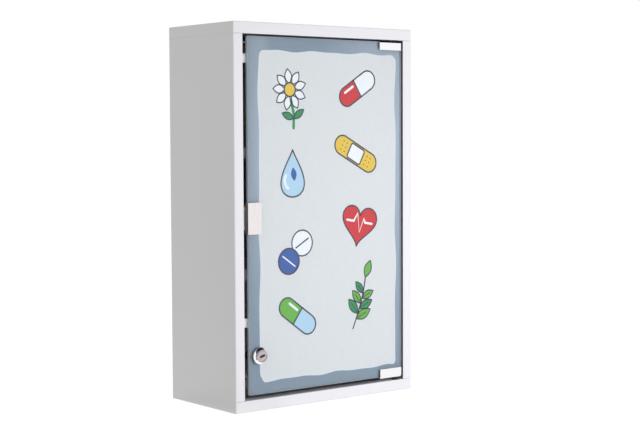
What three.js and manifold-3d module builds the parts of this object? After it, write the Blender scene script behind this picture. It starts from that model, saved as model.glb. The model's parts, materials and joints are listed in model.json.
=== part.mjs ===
// Steel wall cabinet for medicines, with an inset printed glass door on two pivot hinges and a cam lock.
// Millimetres, +Z up, the front faces -Y. The origin is the middle of the underside.

import * as THREE from "three";
import { mergeVertices } from "three/addons/utils/BufferGeometryUtils.js";
import Module from "manifold-3d";

const wasm = await Module();
wasm.setup();

// Case of folded sheet steel
const CASE_WIDTH = 300;
const CASE_DEPTH = 150;
const CASE_HEIGHT = 500;
const SHEET = 1;
const BEND = 2; // outer radius of a fold
const SHARPEST_BEND = 0.1; // least inner radius of a fold
const EDGE_ROUND = 1.2; // rounding of the top and bottom panels' outer edges
const FRAME_FACE = 15; // width of the frame seen round the door
const JAMB_RETURN = 18; // depth of the fold that lines the latch side of the door opening
const REAR_FLANGE = 12;
const SEAM = 0.3; // hairline between neighbouring panels
const SEAT_GAP = 0.2; // between a piece and the one it lies on
const HOLE_CLEARANCE = 0.3; // round a fastener, on the radius

// Tabs of the side panels, screwed to the top and bottom panels
const TAB_SETBACK = 6;
const TAB_SHY = 3;
const TAB_SCREW_INSET = 18;
const SCREW_DIAMETER = 4;
const SCREW_LENGTH = 8;
const SCREW_HEAD = 7.4;
const SCREW_HEAD_HEIGHT = 2.2;
const SCREW_HEAD_ROUND = 0.55;
const SCREW_TIP_CHAMFER = 0.6;
const SCREW_SOCKET = 2.5; // across the corners of the hexagon
const SCREW_SOCKET_DEPTH = 1.3;

// Back panel
const BACK_EDGE_GAP = 0.5;
const RIVETS_PER_SIDE = 3;
const RIVET_DIAMETER = 3.2;
const RIVET_HEAD = 6.4;
const RIVET_HEAD_HEIGHT = 1.2;
const RIVET_DOME = [[0.55, 0.85], [0.9, 0.4]]; // points on it, as shares of the head's radius and height
const RIVET_END_INSET = 45;
const KEYHOLE_SPACING = 200;
const KEYHOLE_DROP = 48;
const KEYHOLE_HEAD = 10;
const KEYHOLE_SLOT = 5.5;
const KEYHOLE_RISE = 11;

// Shelves and the brackets that carry them
const FIRST_SHELF = 168; // top of the lower shelf above the frame's lower edge
const SHELF_PITCH = 157;
const SHELF_LIP = 14;
const SHELF_SETBACK = 2; // behind the fold of the door opening
const SHELF_END_GAP = 0.5;
const BRACKET_LEG = 12;
const BRACKET_SHEET = 1.2;
const BRACKET_SHY = 12; // from the shelf's lips

// Door glass and the printed film behind it
const GLASS_THICKNESS = 4;
const GLASS_RECESS = 0.5;
const GLASS_CORNER = 2;
const LATCH_SIDE_GAP = 7;
const HINGE_SIDE_GAP = 3;
const FILM_GAP = 0.3;
const FILM_SHEET = 0.25;
const FILM_INSET = 0.5;
const FILM_NOTCH = 0.5; // clear of what grips the glass

// Pivot hinges
const CLAMP_LENGTH = 38;
const CLAMP_INSET = 2; // from the glass's hinge-side edge
const CLAMP_GRIP = 11.2; // how far it reaches over the glass
const CLAMP_FRONT = 1.4;
const CLAMP_REAR = 3.6;
const CLAMP_WEB = 1.2;
const CLAMP_SPACE = 0.6; // between clamp and glass, filled by the liner
const CLAMP_BEVEL = 3; // height of the bevel between the front cheek and the web
const CLAMP_LAND = 0.4; // flat left next to that bevel
const CLAMP_REAR_SHY = 1.5; // the rear cheek is this much smaller than the front one
const LINER_GAP = 0.15;
const SET_SCREW_DIAMETER = 4;
const SET_SCREW_CHAMFER = 0.6;
const SET_SCREW_INSET = 8; // from the ends of the clamp
const SET_SCREW_DROP = 5; // from the edge of the glass
const PIVOT_INSET = 7; // from the glass's hinge-side edge
const PIVOT_SETBACK = 0.5; // behind the glass
const PIN_DIAMETER = 4;
const PIN_CHAMFER = 0.5;
const PIN_CLEARANCE = 0.1; // running, on the radius
const PIN_ENGAGEMENT = 4; // past the bush's collar
const BUSH_WALL = 1;
const COLLAR_DIAMETER = 9.6;
const UPPER_COLLAR = 0.5;
const LOWER_COLLAR = 4.2;
const PIVOT_PLAY = 0.3; // between clamp and collar

// Pull and strike plate on the latch side
const STRIKE_LEVEL = 249.5; // its middle above the underside
const STRIKE_HEIGHT = 41;
const STRIKE_COVER = 20; // over the front of the glass
const STRIKE_REAR = 16; // over the back of the glass
const STRIKE_REAR_SHY = 1.5;
const STRIKE_SHEET = 1.2;
const STRIKE_SPACE = 0.5;
const STRIKE_ROUND = 1;

// Magnetic catch
const CATCH_AIR = 0.3; // between the pole plates and the strike plate
const CATCH_WIDTH = 17;
const CATCH_HEIGHT = 30;
const CATCH_DEPTH = 12;
const CATCH_EAR = 10;
const CATCH_EAR_THICKNESS = 2;
const CATCH_EAR_WIDTH = 9;
const CATCH_POCKET = 9;
const POLE_SHEET = 1.2;
const POLE_PROUD = 0.8;
const MAGNET_THICKNESS = 5;
const MAGNET_HEIGHT = 22;

// Door bumpers
const BUMPER_RISE = 115; // lower one above the underside
const BUMPER_DROP = 46; // upper one below the top
const BUMPER_HEIGHT = 12;
const BUMPER_DEPTH = 7;
const BUMPER_REACH = 4; // behind the glass
const BUMPER_ROUND = 1.5;
const BUMPER_AIR = 0.3;
const BUMPER_STEM = 4;
const BUMPER_STEM_LENGTH = 5;

// Cam lock
const LOCK_INSET = 16; // from the glass's latch-side edge
const LOCK_LEVEL = 72;
const BARREL_DIAMETER = 18;
const BARREL_HOLE_CLEARANCE = 0.5;
const HEAD_OVERLAP = 2; // of the head past the barrel, all round
const HEAD_HEIGHT = 5.5;
const HEAD_COLLAR = 1.75; // wall of the collar that stands round the plug
const HEAD_FLANGE = 2.1; // thickness of the flange next to the collar
const HEAD_RIM = 0.6; // straight edge next to the glass
const HEAD_SHOULDER = [0.63, 0.33]; // point on the flange's rounding, as shares of its reach and rise
const GASKET_THICKNESS = 0.8;
const NUT_WALL = 3;
const NUT_THICKNESS = 10;
const PLUG_DIAMETER = 12.8;
const PLUG_CLEARANCE = 0.15;
const PLUG_RECESS = 0.3;
const KEYWAY_WIDTH = 3.2;
const KEYWAY_HEIGHT = 8;
const KEYWAY_DEPTH = 14;
const KEYWAY_TURN = THREE.MathUtils.degToRad(75); // from upright, as the key last left it
const WAFERS = 4;
const WAFER_SHEET = 0.6;
const WAFER_WIDTH = 5;
const WAFER_START = 5; // behind the plug's face
const WAFER_PITCH = 2.6;
const WAFER_AIR = 0.2;
const WAFER_SUNK = 0.4; // below the plug's surface, as with the key in
const TAIL_SIDE = 7; // square end of the plug
const CAM_SHEET = 1.6;
const CAM_HUB = 17;
const CAM_WIDTH = 12;
const CAM_ROUND = 3;
const CAM_OVERLAP = 8; // past the edge of the door opening when locked
const CAM_CLEARANCE = 0.8; // behind the fold that it locks against
const CAM_PLAY = 0.3;

// Facets of round work
const SMALL_SIDES = 12;
const PIN_SIDES = 24;
const LOCK_SIDES = 32;
const BEND_STEPS = 3;

// How far a cutter runs past the faces that it cuts
const PAST = 1;

// Planes that the pieces share
const left = -CASE_WIDTH / 2;
const right = CASE_WIDTH / 2;
const front = -CASE_DEPTH / 2;
const back = CASE_DEPTH / 2;
const openingLeft = left + FRAME_FACE;
const openingRight = right - FRAME_FACE;
const openingTop = CASE_HEIGHT - FRAME_FACE;
const returnBack = front + JAMB_RETURN;
const panelLow = FRAME_FACE + SEAM;
const panelHigh = openingTop - SEAM;
const backRear = back - SHEET - SEAT_GAP;
const backFront = backRear - SHEET;
const clampStack = SEAT_GAP + PIVOT_PLAY + CLAMP_WEB + CLAMP_SPACE;
const glassLeft = openingLeft + LATCH_SIDE_GAP;
const glassRight = openingRight - HINGE_SIDE_GAP;
const glassLow = FRAME_FACE + LOWER_COLLAR + clampStack;
const glassHigh = openingTop - UPPER_COLLAR - clampStack;
const glassFront = front + GLASS_RECESS;
const glassBack = glassFront + GLASS_THICKNESS;
const filmFront = glassBack + FILM_GAP;
const filmBack = filmFront + FILM_SHEET;
const pivotX = glassRight - PIVOT_INSET;
const pivotY = glassBack + PIVOT_SETBACK;
const clampRight = glassRight - CLAMP_INSET;
const clampLeft = clampRight - CLAMP_LENGTH;
const bushRadius = PIN_DIAMETER / 2 + PIN_CLEARANCE + BUSH_WALL;
const strikeBack = glassBack + STRIKE_SPACE + STRIKE_SHEET;
const poleFront = strikeBack + CATCH_AIR;
const catchFront = poleFront + POLE_PROUD;
const catchLeft = openingLeft + SEAT_GAP;
const bumperLevels = { lower: BUMPER_RISE, upper: CASE_HEIGHT - BUMPER_DROP };
const lockX = glassLeft + LOCK_INSET;
const camFront = returnBack + CAM_CLEARANCE;
const barrelBack = camFront - CAM_PLAY;
const headBack = glassFront - GASKET_THICKNESS - 2 * SEAT_GAP;
const headFront = headBack - HEAD_HEIGHT;
const barrelHole = BARREL_DIAMETER / 2 + BARREL_HOLE_CLEARANCE;
const tabFront = returnBack + TAB_SETBACK;
const tabBack = back - REAR_FLANGE - TAB_SETBACK;
const tabScrewX = right - (SHEET + FRAME_FACE - TAB_SHY) / 2;
const tabScrewYs = { front: tabFront + TAB_SCREW_INSET, rear: tabBack - TAB_SCREW_INSET };
const rivetX = right - (SHEET + REAR_FLANGE) / 2;
const screwHole = SCREW_DIAMETER / 2 + HOLE_CLEARANCE;
const bendInner = Math.max(BEND - SHEET, SHARPEST_BEND);
const throughFold = [openingLeft - SHEET - PAST, openingLeft + PAST];

// Solid geometry

// A box between two opposite corners, with its vertices exactly there.
function block(xs, ys, zs) {
  const geometry = new THREE.BoxGeometry(1, 1, 1);
  const corner = geometry.getAttribute("position");
  const pick = (ends, high) => (high ? Math.max(...ends) : Math.min(...ends));
  for (let i = 0; i < corner.count; i += 1) {
    const x = pick(xs, corner.getX(i) > 0);
    const y = pick(ys, corner.getY(i) > 0);
    const z = pick(zs, corner.getZ(i) > 0);
    corner.setXYZ(i, x, y, z);
  }
  return geometry;
}

// A closed outline through corners [u, v, radius], each rounded by its radius.
function outline(corners) {
  const points = corners.map(([u, v]) => new THREE.Vector2(u, v));
  const shape = new THREE.Shape();
  points.forEach((here, i) => {
    const radius = corners[i][2] ?? 0;
    const before = points.at(i - 1);
    const after = points[(i + 1) % points.length];
    const start = before.clone().sub(here).setLength(radius).add(here);
    const end = after.clone().sub(here).setLength(radius).add(here);
    if (i === 0) shape.moveTo(start.x, start.y);
    else shape.lineTo(start.x, start.y);
    if (radius > 0) shape.quadraticCurveTo(here.x, here.y, end.x, end.y);
  });
  shape.closePath();
  return shape;
}

function rectangle([u0, u1], [v0, v1], radius = 0) {
  return outline([
    [u0, v0, radius],
    [u1, v0, radius],
    [u1, v1, radius],
    [u0, v1, radius],
  ]);
}

function circle(u, v, radius, sides) {
  const points = [];
  for (let i = 0; i < sides; i += 1) {
    const turn = (2 * Math.PI * i) / sides;
    points.push(new THREE.Vector2(u + radius * Math.cos(turn), v + radius * Math.sin(turn)));
  }
  return new THREE.Shape(points);
}

// A shape pushed along an axis: its (u, v) are (y, z) for x, (x, z) for y and (x, y) for z.
function prism(shape, axis, [from, to]) {
  const options = { depth: 1, bevelEnabled: false, curveSegments: BEND_STEPS };
  const geometry = new THREE.ExtrudeGeometry(shape, options);
  const point = geometry.getAttribute("position");
  for (let i = 0; i < point.count; i += 1) {
    const u = point.getX(i);
    const v = point.getY(i);
    const near = point.getZ(i) < 0.5;
    if (axis === "x") point.setXYZ(i, near ? from : to, u, v);
    if (axis === "y") point.setXYZ(i, u, near ? to : from, v);
    if (axis === "z") point.setXYZ(i, u, v, near ? from : to);
  }
  return geometry;
}

// A profile of [radius, y] turned round the Y axis.
function turned(profile, sides) {
  const points = profile.map(([radius, y]) => new THREE.Vector2(radius, y));
  return new THREE.LatheGeometry(points, sides);
}

function solidOf(geometry) {
  const bare = new THREE.BufferGeometry();
  bare.setAttribute("position", geometry.getAttribute("position"));
  if (geometry.index) bare.setIndex(geometry.index);
  const closed = mergeVertices(bare, 1e-4);
  const vertProperties = new Float32Array(closed.getAttribute("position").array);
  const triVerts = new Uint32Array(closed.index.array);
  return new wasm.Manifold(new wasm.Mesh({ numProp: 3, vertProperties, triVerts }));
}

function geometryOf(solid) {
  const mesh = solid.getMesh();
  const geometry = new THREE.BufferGeometry();
  geometry.setAttribute("position", new THREE.BufferAttribute(mesh.vertProperties, 3));
  geometry.setIndex(new THREE.BufferAttribute(mesh.triVerts, 1));
  return geometry;
}

function join(...geometries) {
  return geometryOf(geometries.map(solidOf).reduce((all, next) => all.add(next)));
}

function cut(geometry, tools) {
  return geometryOf(tools.map(solidOf).reduce((rest, tool) => rest.subtract(tool), solidOf(geometry)));
}

// Finishes

const FINISHES = {
  whitePaint: { color: 0xeeedf2, roughness: 0.45, metalness: 0 },
  glass: { color: 0xcfdedb, roughness: 0.05, metalness: 0 },
  frostedFilm: { color: 0xdde1e5, roughness: 0.6, metalness: 0 },
  chrome: { color: 0xd9d9dc, roughness: 0.12, metalness: 1 },
  satinNickel: { color: 0xd8d2d0, roughness: 0.3, metalness: 1 },
  zinc: { color: 0xb9bcc0, roughness: 0.35, metalness: 1 },
  ferrite: { color: 0x2b2b2d, roughness: 0.7, metalness: 0 },
  whitePlastic: { color: 0xf4f4f2, roughness: 0.4, metalness: 0 },
  blackPlastic: { color: 0x242426, roughness: 0.5, metalness: 0 },
  blackRubber: { color: 0x1c1c1d, roughness: 0.8, metalness: 0 },
};

function piece(name, finish, geometry) {
  geometry.deleteAttribute("normal");
  geometry.computeVertexNormals();
  const mesh = new THREE.Mesh(geometry, new THREE.MeshStandardMaterial(FINISHES[finish]));
  mesh.name = name;
  return mesh;
}

// Fasteners point along +Y, with the underside of the head at the origin.

function screwGeometry(length) {
  const shank = SCREW_DIAMETER / 2;
  const head = SCREW_HEAD / 2;
  const body = turned(
    [
      [0, -SCREW_HEAD_HEIGHT],
      [head - SCREW_HEAD_ROUND, -SCREW_HEAD_HEIGHT],
      [head, -SCREW_HEAD_HEIGHT / 2],
      [head, 0],
      [shank, 0],
      [shank, length - SCREW_TIP_CHAMFER],
      [shank - SCREW_TIP_CHAMFER, length],
      [0, length],
    ],
    SMALL_SIDES,
  );
  const socket = circle(0, 0, SCREW_SOCKET / 2, 6);
  const socketEnds = [-SCREW_HEAD_HEIGHT - PAST, SCREW_SOCKET_DEPTH - SCREW_HEAD_HEIGHT];
  return cut(body, [prism(socket, "y", socketEnds)]);
}

function rivetGeometry(length) {
  const shank = RIVET_DIAMETER / 2;
  const head = RIVET_HEAD / 2;
  return turned(
    [
      [0, -RIVET_HEAD_HEIGHT],
      ...RIVET_DOME.map(([wide, high]) => [wide * head, -high * RIVET_HEAD_HEIGHT]),
      [head, 0],
      [shank, 0],
      [shank, length],
      [0, length],
    ],
    SMALL_SIDES,
  );
}

// Case

// A side panel: outer skin, front face, rear flange and a tab at each end. side is -1 on the left and +1
// on the right. A lined panel is folded into the opening too, and holes are cutters for what it carries.
function sidePanel(name, side, lined, holes) {
  const inwards = (distance) => side * (CASE_WIDTH / 2 - distance);
  const edge = inwards(FRAME_FACE);
  const lining = inwards(FRAME_FACE - SHEET);
  const outerEnd = lined ? [[edge, returnBack], [edge, front, BEND]] : [[edge, front + SHEET], [edge, front]];
  const innerEnd = lined ? [[lining, front + SHEET, bendInner], [lining, returnBack]] : [];
  const section = outline([
    ...outerEnd,
    [inwards(0), front, BEND],
    [inwards(0), back, BEND],
    [inwards(REAR_FLANGE), back],
    [inwards(REAR_FLANGE), back - SHEET],
    [inwards(SHEET), back - SHEET, bendInner],
    [inwards(SHEET), front + SHEET, bendInner],
    ...innerEnd,
  ]);
  const tabXs = [inwards(SHEET / 2), inwards(FRAME_FACE - TAB_SHY)];
  const tabYs = [tabFront, tabBack];
  const body = join(
    prism(section, "z", [panelLow, panelHigh]),
    block(tabXs, tabYs, [panelHigh - SHEET, panelHigh]),
    block(tabXs, tabYs, [panelLow, panelLow + SHEET]),
  );
  const tabHoles = Object.values(tabScrewYs).map((y) =>
    prism(circle(side * tabScrewX, y, screwHole, SMALL_SIDES), "z", [0, CASE_HEIGHT]),
  );
  return piece(name, "whitePaint", cut(body, [...tabHoles, ...rivetHoles(side), ...holes]));
}

function rivetLevels() {
  const lowest = panelLow + RIVET_END_INSET;
  const step = (panelHigh - RIVET_END_INSET - lowest) / (RIVETS_PER_SIDE - 1);
  return Array.from({ length: RIVETS_PER_SIDE }, (_, i) => lowest + i * step);
}

function rivetHoles(side) {
  const radius = RIVET_DIAMETER / 2 + HOLE_CLEARANCE;
  return rivetLevels().map((z) =>
    prism(circle(side * rivetX, z, radius, SMALL_SIDES), "y", [backFront - PAST, back + PAST]),
  );
}

// The bottom panel as it lies, and the top panel turned over: a shallow tray with a rim folded in.
function tray(name, hingeX) {
  const plan = rectangle([left, right], [front, back], BEND);
  const shell = new THREE.ExtrudeGeometry(plan, {
    depth: FRAME_FACE,
    bevelSize: EDGE_ROUND,
    bevelThickness: EDGE_ROUND,
    bevelOffset: -EDGE_ROUND,
    bevelSegments: BEND_STEPS,
    curveSegments: BEND_STEPS,
  });
  shell.translate(0, 0, EDGE_ROUND);
  const inX = [left + SHEET, right - SHEET];
  const inY = [front + SHEET, back - SHEET];
  const rim = [FRAME_FACE - 2 * SHEET, FRAME_FACE + SHEET];
  const bushHole = circle(hingeX, pivotY, bushRadius + HOLE_CLEARANCE, PIN_SIDES);
  const cutters = [
    block([2 * left, 2 * right], [2 * front, 2 * back], [FRAME_FACE, 2 * FRAME_FACE + EDGE_ROUND]),
    block(inX, inY, [SHEET, FRAME_FACE - SHEET]),
    block([openingLeft, openingRight], [returnBack, back - REAR_FLANGE], rim),
    prism(bushHole, "z", rim),
  ];
  for (const side of [-1, 1]) {
    for (const y of Object.values(tabScrewYs)) {
      cutters.push(prism(circle(side * tabScrewX, y, screwHole, SMALL_SIDES), "z", rim));
    }
  }
  return piece(name, "whitePaint", cut(shell, cutters));
}

function backPanel() {
  const edge = SHEET + BACK_EDGE_GAP;
  const plate = rectangle([left + edge, right - edge], [panelLow, panelHigh]);
  const through = [backFront - PAST, backRear + PAST];
  const cutters = [...rivetHoles(-1), ...rivetHoles(1)];
  for (const x of [-KEYHOLE_SPACING / 2, KEYHOLE_SPACING / 2]) {
    const z = panelHigh - KEYHOLE_DROP;
    const slotXs = [x - KEYHOLE_SLOT / 2, x + KEYHOLE_SLOT / 2];
    cutters.push(prism(circle(x, z, KEYHOLE_HEAD / 2, PIN_SIDES), "y", through));
    cutters.push(block(slotXs, through, [z, z + KEYHOLE_RISE]));
    cutters.push(prism(circle(x, z + KEYHOLE_RISE, KEYHOLE_SLOT / 2, PIN_SIDES), "y", through));
  }
  return piece("back_panel", "whitePaint", cut(prism(plate, "y", [backFront, backRear]), cutters));
}

function tabScrews() {
  const ends = {
    bottom: { z: panelLow + SHEET + SEAT_GAP, turn: -Math.PI / 2 },
    top: { z: panelHigh - SHEET - SEAT_GAP, turn: Math.PI / 2 },
  };
  const screws = [];
  for (const [end, { z, turn }] of Object.entries(ends)) {
    for (const [hand, side] of [["left", -1], ["right", 1]]) {
      for (const [place, y] of Object.entries(tabScrewYs)) {
        const screw = piece(`${end}_${hand}_${place}_screw`, "zinc", screwGeometry(SCREW_LENGTH));
        screw.position.set(side * tabScrewX, y, z);
        screw.rotation.x = turn;
        screws.push(screw);
      }
    }
  }
  return screws;
}

function backRivets() {
  const names = ["lower", "middle", "upper"];
  const rivets = [];
  for (const [hand, side] of [["left", -1], ["right", 1]]) {
    rivetLevels().forEach((z, i) => {
      const name = `back_rivet_${hand}_${names[i] ?? i}`;
      const head = backFront - SEAT_GAP;
      const rivet = piece(name, "zinc", rivetGeometry(back - SEAT_GAP - head));
      rivet.position.set(side * rivetX, head, z);
      rivets.push(rivet);
    });
  }
  return rivets;
}

// A shelf with its front and rear edges folded down, and the two angles under its ends.
function shelf(level, top) {
  const shelfFront = returnBack + SHELF_SETBACK;
  const shelfBack = backFront - SEAT_GAP;
  const section = outline([
    [shelfFront, top - SHELF_LIP],
    [shelfFront + SHEET, top - SHELF_LIP],
    [shelfFront + SHEET, top - SHEET, bendInner],
    [shelfBack - SHEET, top - SHEET, bendInner],
    [shelfBack - SHEET, top - SHELF_LIP],
    [shelfBack, top - SHELF_LIP],
    [shelfBack, top, BEND],
    [shelfFront, top, BEND],
  ]);
  const end = SHEET + SHELF_END_GAP;
  const group = new THREE.Group();
  group.add(piece(`${level}_shelf`, "whitePaint", prism(section, "x", [left + end, right - end])));
  const seat = top - SHEET - SEAT_GAP;
  for (const [hand, side] of [["left", -1], ["right", 1]]) {
    const inwards = (distance) => side * (CASE_WIDTH / 2 - SHEET - SEAT_GAP - distance);
    const angle = outline([
      [inwards(0), seat - BRACKET_LEG],
      [inwards(BRACKET_SHEET), seat - BRACKET_LEG],
      [inwards(BRACKET_SHEET), seat - BRACKET_SHEET],
      [inwards(BRACKET_LEG), seat - BRACKET_SHEET],
      [inwards(BRACKET_LEG), seat],
      [inwards(0), seat, BRACKET_SHEET / 2],
    ]);
    const length = [shelfFront + SHEET + BRACKET_SHY, shelfBack - SHEET - BRACKET_SHY];
    group.add(piece(`${level}_shelf_bracket_${hand}`, "whitePaint", prism(angle, "y", length)));
  }
  return group;
}

// Door

function doorGlass() {
  const pane = rectangle([glassLeft, glassRight], [glassLow, glassHigh], GLASS_CORNER);
  const lockHole = prism(circle(lockX, LOCK_LEVEL, barrelHole, LOCK_SIDES), "y", [front - PAST, back]);
  return piece("door_glass", "glass", cut(prism(pane, "y", [glassFront, glassBack]), [lockHole]));
}

function printedFilm() {
  const xs = [glassLeft + FILM_INSET, glassRight - FILM_INSET];
  const zs = [glassLow + FILM_INSET, glassHigh - FILM_INSET];
  const sheet = prism(rectangle(xs, zs, GLASS_CORNER), "y", [filmFront, filmBack]);
  const through = [filmFront - PAST, filmBack + PAST];
  const rear = CLAMP_REAR_SHY - FILM_NOTCH;
  const clampXs = [clampLeft + rear, clampRight - rear];
  const grip = CLAMP_GRIP - rear;
  const strikeRight = glassLeft + STRIKE_REAR + FILM_NOTCH;
  const strikeHalf = STRIKE_HEIGHT / 2 - STRIKE_REAR_SHY + FILM_NOTCH;
  const notches = [
    block(clampXs, through, [glassLow - PAST, glassLow + grip]),
    block(clampXs, through, [glassHigh - grip, glassHigh + PAST]),
    block([glassLeft - PAST, strikeRight], through, [STRIKE_LEVEL - strikeHalf, STRIKE_LEVEL + strikeHalf]),
    prism(circle(lockX, LOCK_LEVEL, barrelHole, LOCK_SIDES), "y", through),
  ];
  return piece("printed_film", "frostedFilm", cut(sheet, notches));
}

// A pivot hinge. edge is the height of the glass's edge in it, away is +1 at the top and -1 at the bottom.
function hingeOnDoor(level, edge, away) {
  const at = (distance) => edge + away * distance;
  const webInner = at(CLAMP_SPACE);
  const webOuter = at(CLAMP_SPACE + CLAMP_WEB);
  const cheekFront = glassFront - CLAMP_SPACE;
  const cheekRear = glassBack + CLAMP_SPACE;
  const rearXs = [clampLeft + CLAMP_REAR_SHY, clampRight - CLAMP_REAR_SHY];
  const screwXs = { left: clampLeft + SET_SCREW_INSET, right: clampRight - SET_SCREW_INSET };
  const screwZ = at(-SET_SCREW_DROP);
  const faceFront = cheekFront - CLAMP_FRONT;
  const cheek = outline([
    [faceFront, at(-CLAMP_GRIP)],
    [cheekFront, at(-CLAMP_GRIP)],
    [cheekFront, webOuter],
    [cheekFront - CLAMP_LAND, webOuter],
    [faceFront, at(CLAMP_SPACE + CLAMP_WEB - CLAMP_BEVEL)],
  ]);
  const clampBody = join(
    prism(cheek, "x", [clampLeft, clampRight]),
    block(rearXs, [cheekFront - CLAMP_LAND / 2, cheekRear + CLAMP_REAR], [webInner, webOuter]),
    block(rearXs, [cheekRear, cheekRear + CLAMP_REAR], [at(CLAMP_REAR_SHY - CLAMP_GRIP), webOuter]),
  );
  const screwCutters = Object.values(screwXs).map((x) => {
    const hole = circle(x, screwZ, SET_SCREW_DIAMETER / 2 + HOLE_CLEARANCE, SMALL_SIDES);
    return prism(hole, "y", [cheekRear - PAST, cheekRear + CLAMP_REAR + PAST]);
  });
  const pinHole = circle(pivotX, pivotY, PIN_DIAMETER / 2 + SEAT_GAP, PIN_SIDES);
  const pinCutter = prism(pinHole, "z", [webInner, webOuter].sort((a, b) => a - b));
  const group = new THREE.Group();
  group.add(piece(`${level}_hinge_clamp`, "chrome", cut(clampBody, [...screwCutters, pinCutter])));

  const linerXs = [rearXs[0] + LINER_GAP, rearXs[1] - LINER_GAP];
  const linerLow = at(CLAMP_REAR_SHY + LINER_GAP - CLAMP_GRIP);
  const linerBody = block(
    linerXs,
    [cheekFront + LINER_GAP, cheekRear - LINER_GAP],
    [linerLow, at(CLAMP_SPACE - LINER_GAP)],
  );
  const glassRoom = block(
    [clampLeft, clampRight],
    [glassFront - LINER_GAP, glassBack + LINER_GAP],
    [at(-CLAMP_GRIP), at(LINER_GAP)],
  );
  group.add(piece(`${level}_hinge_liner`, "blackRubber", cut(linerBody, [glassRoom])));

  for (const [hand, x] of Object.entries(screwXs)) {
    const screw = piece(`${level}_hinge_set_screw_${hand}`, "zinc", setScrewGeometry());
    screw.position.set(x, cheekRear - LINER_GAP + SEAT_GAP, screwZ);
    group.add(screw);
  }

  const collar = away > 0 ? UPPER_COLLAR : LOWER_COLLAR;
  const pinLength = CLAMP_WEB + PIVOT_PLAY + collar + PIN_ENGAGEMENT;
  const pin = piece(`${level}_hinge_pin`, "zinc", pinGeometry(pinLength));
  pin.position.set(pivotX, pivotY, webInner);
  pin.rotation.x = (away * Math.PI) / 2;
  group.add(pin);
  return group;
}

// Its tip is at the origin and its hexagon socket at the far end, along +Y.
function setScrewGeometry() {
  const radius = SET_SCREW_DIAMETER / 2;
  const length = CLAMP_REAR;
  const body = turned(
    [
      [0, 0],
      [radius - SET_SCREW_CHAMFER, 0],
      [radius, SET_SCREW_CHAMFER],
      [radius, length],
      [0, length],
    ],
    SMALL_SIDES,
  );
  const socketEnds = [length - SCREW_SOCKET_DEPTH, length + PAST];
  return cut(body, [prism(circle(0, 0, radius / 2, 6), "y", socketEnds)]);
}

function pinGeometry(length) {
  const radius = PIN_DIAMETER / 2;
  return turned(
    [
      [0, 0],
      [radius, 0],
      [radius, length - PIN_CHAMFER],
      [radius - PIN_CHAMFER, length],
      [0, length],
    ],
    PIN_SIDES,
  );
}

// A flanged bush in the rim of the top or bottom panel. rim is the face of that rim towards the door.
function hingeBush(level, rim, away) {
  const collar = away > 0 ? UPPER_COLLAR : LOWER_COLLAR;
  const bore = PIN_DIAMETER / 2 + PIN_CLEARANCE;
  const stem = SEAT_GAP + 2 * SHEET;
  const geometry = turned(
    [
      [bore, -collar],
      [COLLAR_DIAMETER / 2, -collar],
      [COLLAR_DIAMETER / 2, 0],
      [bushRadius, 0],
      [bushRadius, stem],
      [bore, stem],
      [bore, -collar],
    ],
    PIN_SIDES,
  );
  const bush = piece(`${level}_hinge_bush`, "blackPlastic", geometry);
  bush.position.set(pivotX, pivotY, rim - away * SEAT_GAP);
  bush.rotation.x = (away * Math.PI) / 2;
  return bush;
}

// The pull and strike plate wraps the latch-side edge of the glass, over a thin liner.
function strike() {
  const outerLeft = glassLeft - STRIKE_SPACE - STRIKE_SHEET;
  const faceFront = glassFront - STRIKE_SPACE - STRIKE_SHEET;
  const half = STRIKE_HEIGHT / 2;
  const rearHalf = half - STRIKE_REAR_SHY;
  const faceZs = [STRIKE_LEVEL - half, STRIKE_LEVEL + half];
  const rearZs = [STRIKE_LEVEL - rearHalf, STRIKE_LEVEL + rearHalf];
  const rearRight = glassLeft + STRIKE_REAR;
  const face = rectangle([outerLeft, glassLeft + STRIKE_COVER], faceZs, STRIKE_ROUND);
  const edgeXs = [outerLeft, glassLeft - STRIKE_SPACE];
  const wrap = join(
    prism(face, "y", [faceFront, faceFront + STRIKE_SHEET]),
    block(edgeXs, [faceFront + STRIKE_SHEET / 2, strikeBack], rearZs),
    block([outerLeft, rearRight], [strikeBack - STRIKE_SHEET, strikeBack], rearZs),
  );
  const group = new THREE.Group();
  group.add(piece("strike_plate", "satinNickel", wrap));
  const linerBody = block(
    [glassLeft - STRIKE_SPACE + LINER_GAP, rearRight - LINER_GAP],
    [glassFront - STRIKE_SPACE + LINER_GAP, glassBack + STRIKE_SPACE - LINER_GAP],
    [rearZs[0] + LINER_GAP, rearZs[1] - LINER_GAP],
  );
  const glassRoom = block(
    [glassLeft - LINER_GAP, rearRight],
    [glassFront - LINER_GAP, glassBack + LINER_GAP],
    faceZs,
  );
  group.add(piece("strike_liner", "blackRubber", cut(linerBody, [glassRoom])));
  return group;
}

// Magnetic catch on the fold of the left side panel, behind the strike plate

const catchPocketWidth = MAGNET_THICKNESS + 2 * POLE_SHEET + 4 * SEAT_GAP;
const catchMiddle = catchLeft + CATCH_EAR_THICKNESS + (CATCH_WIDTH - CATCH_EAR_THICKNESS) / 2;
const catchEarEnd = CATCH_HEIGHT / 2 + CATCH_EAR;
const catchScrewY = catchFront + CATCH_EAR_WIDTH / 2;
const catchScrewZs = {
  lower: STRIKE_LEVEL - CATCH_HEIGHT / 2 - CATCH_EAR / 2,
  upper: STRIKE_LEVEL + CATCH_HEIGHT / 2 + CATCH_EAR / 2,
};

function catchScrewHoles(xs) {
  return Object.values(catchScrewZs).map((z) =>
    prism(circle(catchScrewY, z, screwHole, SMALL_SIDES), "x", xs),
  );
}

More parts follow.
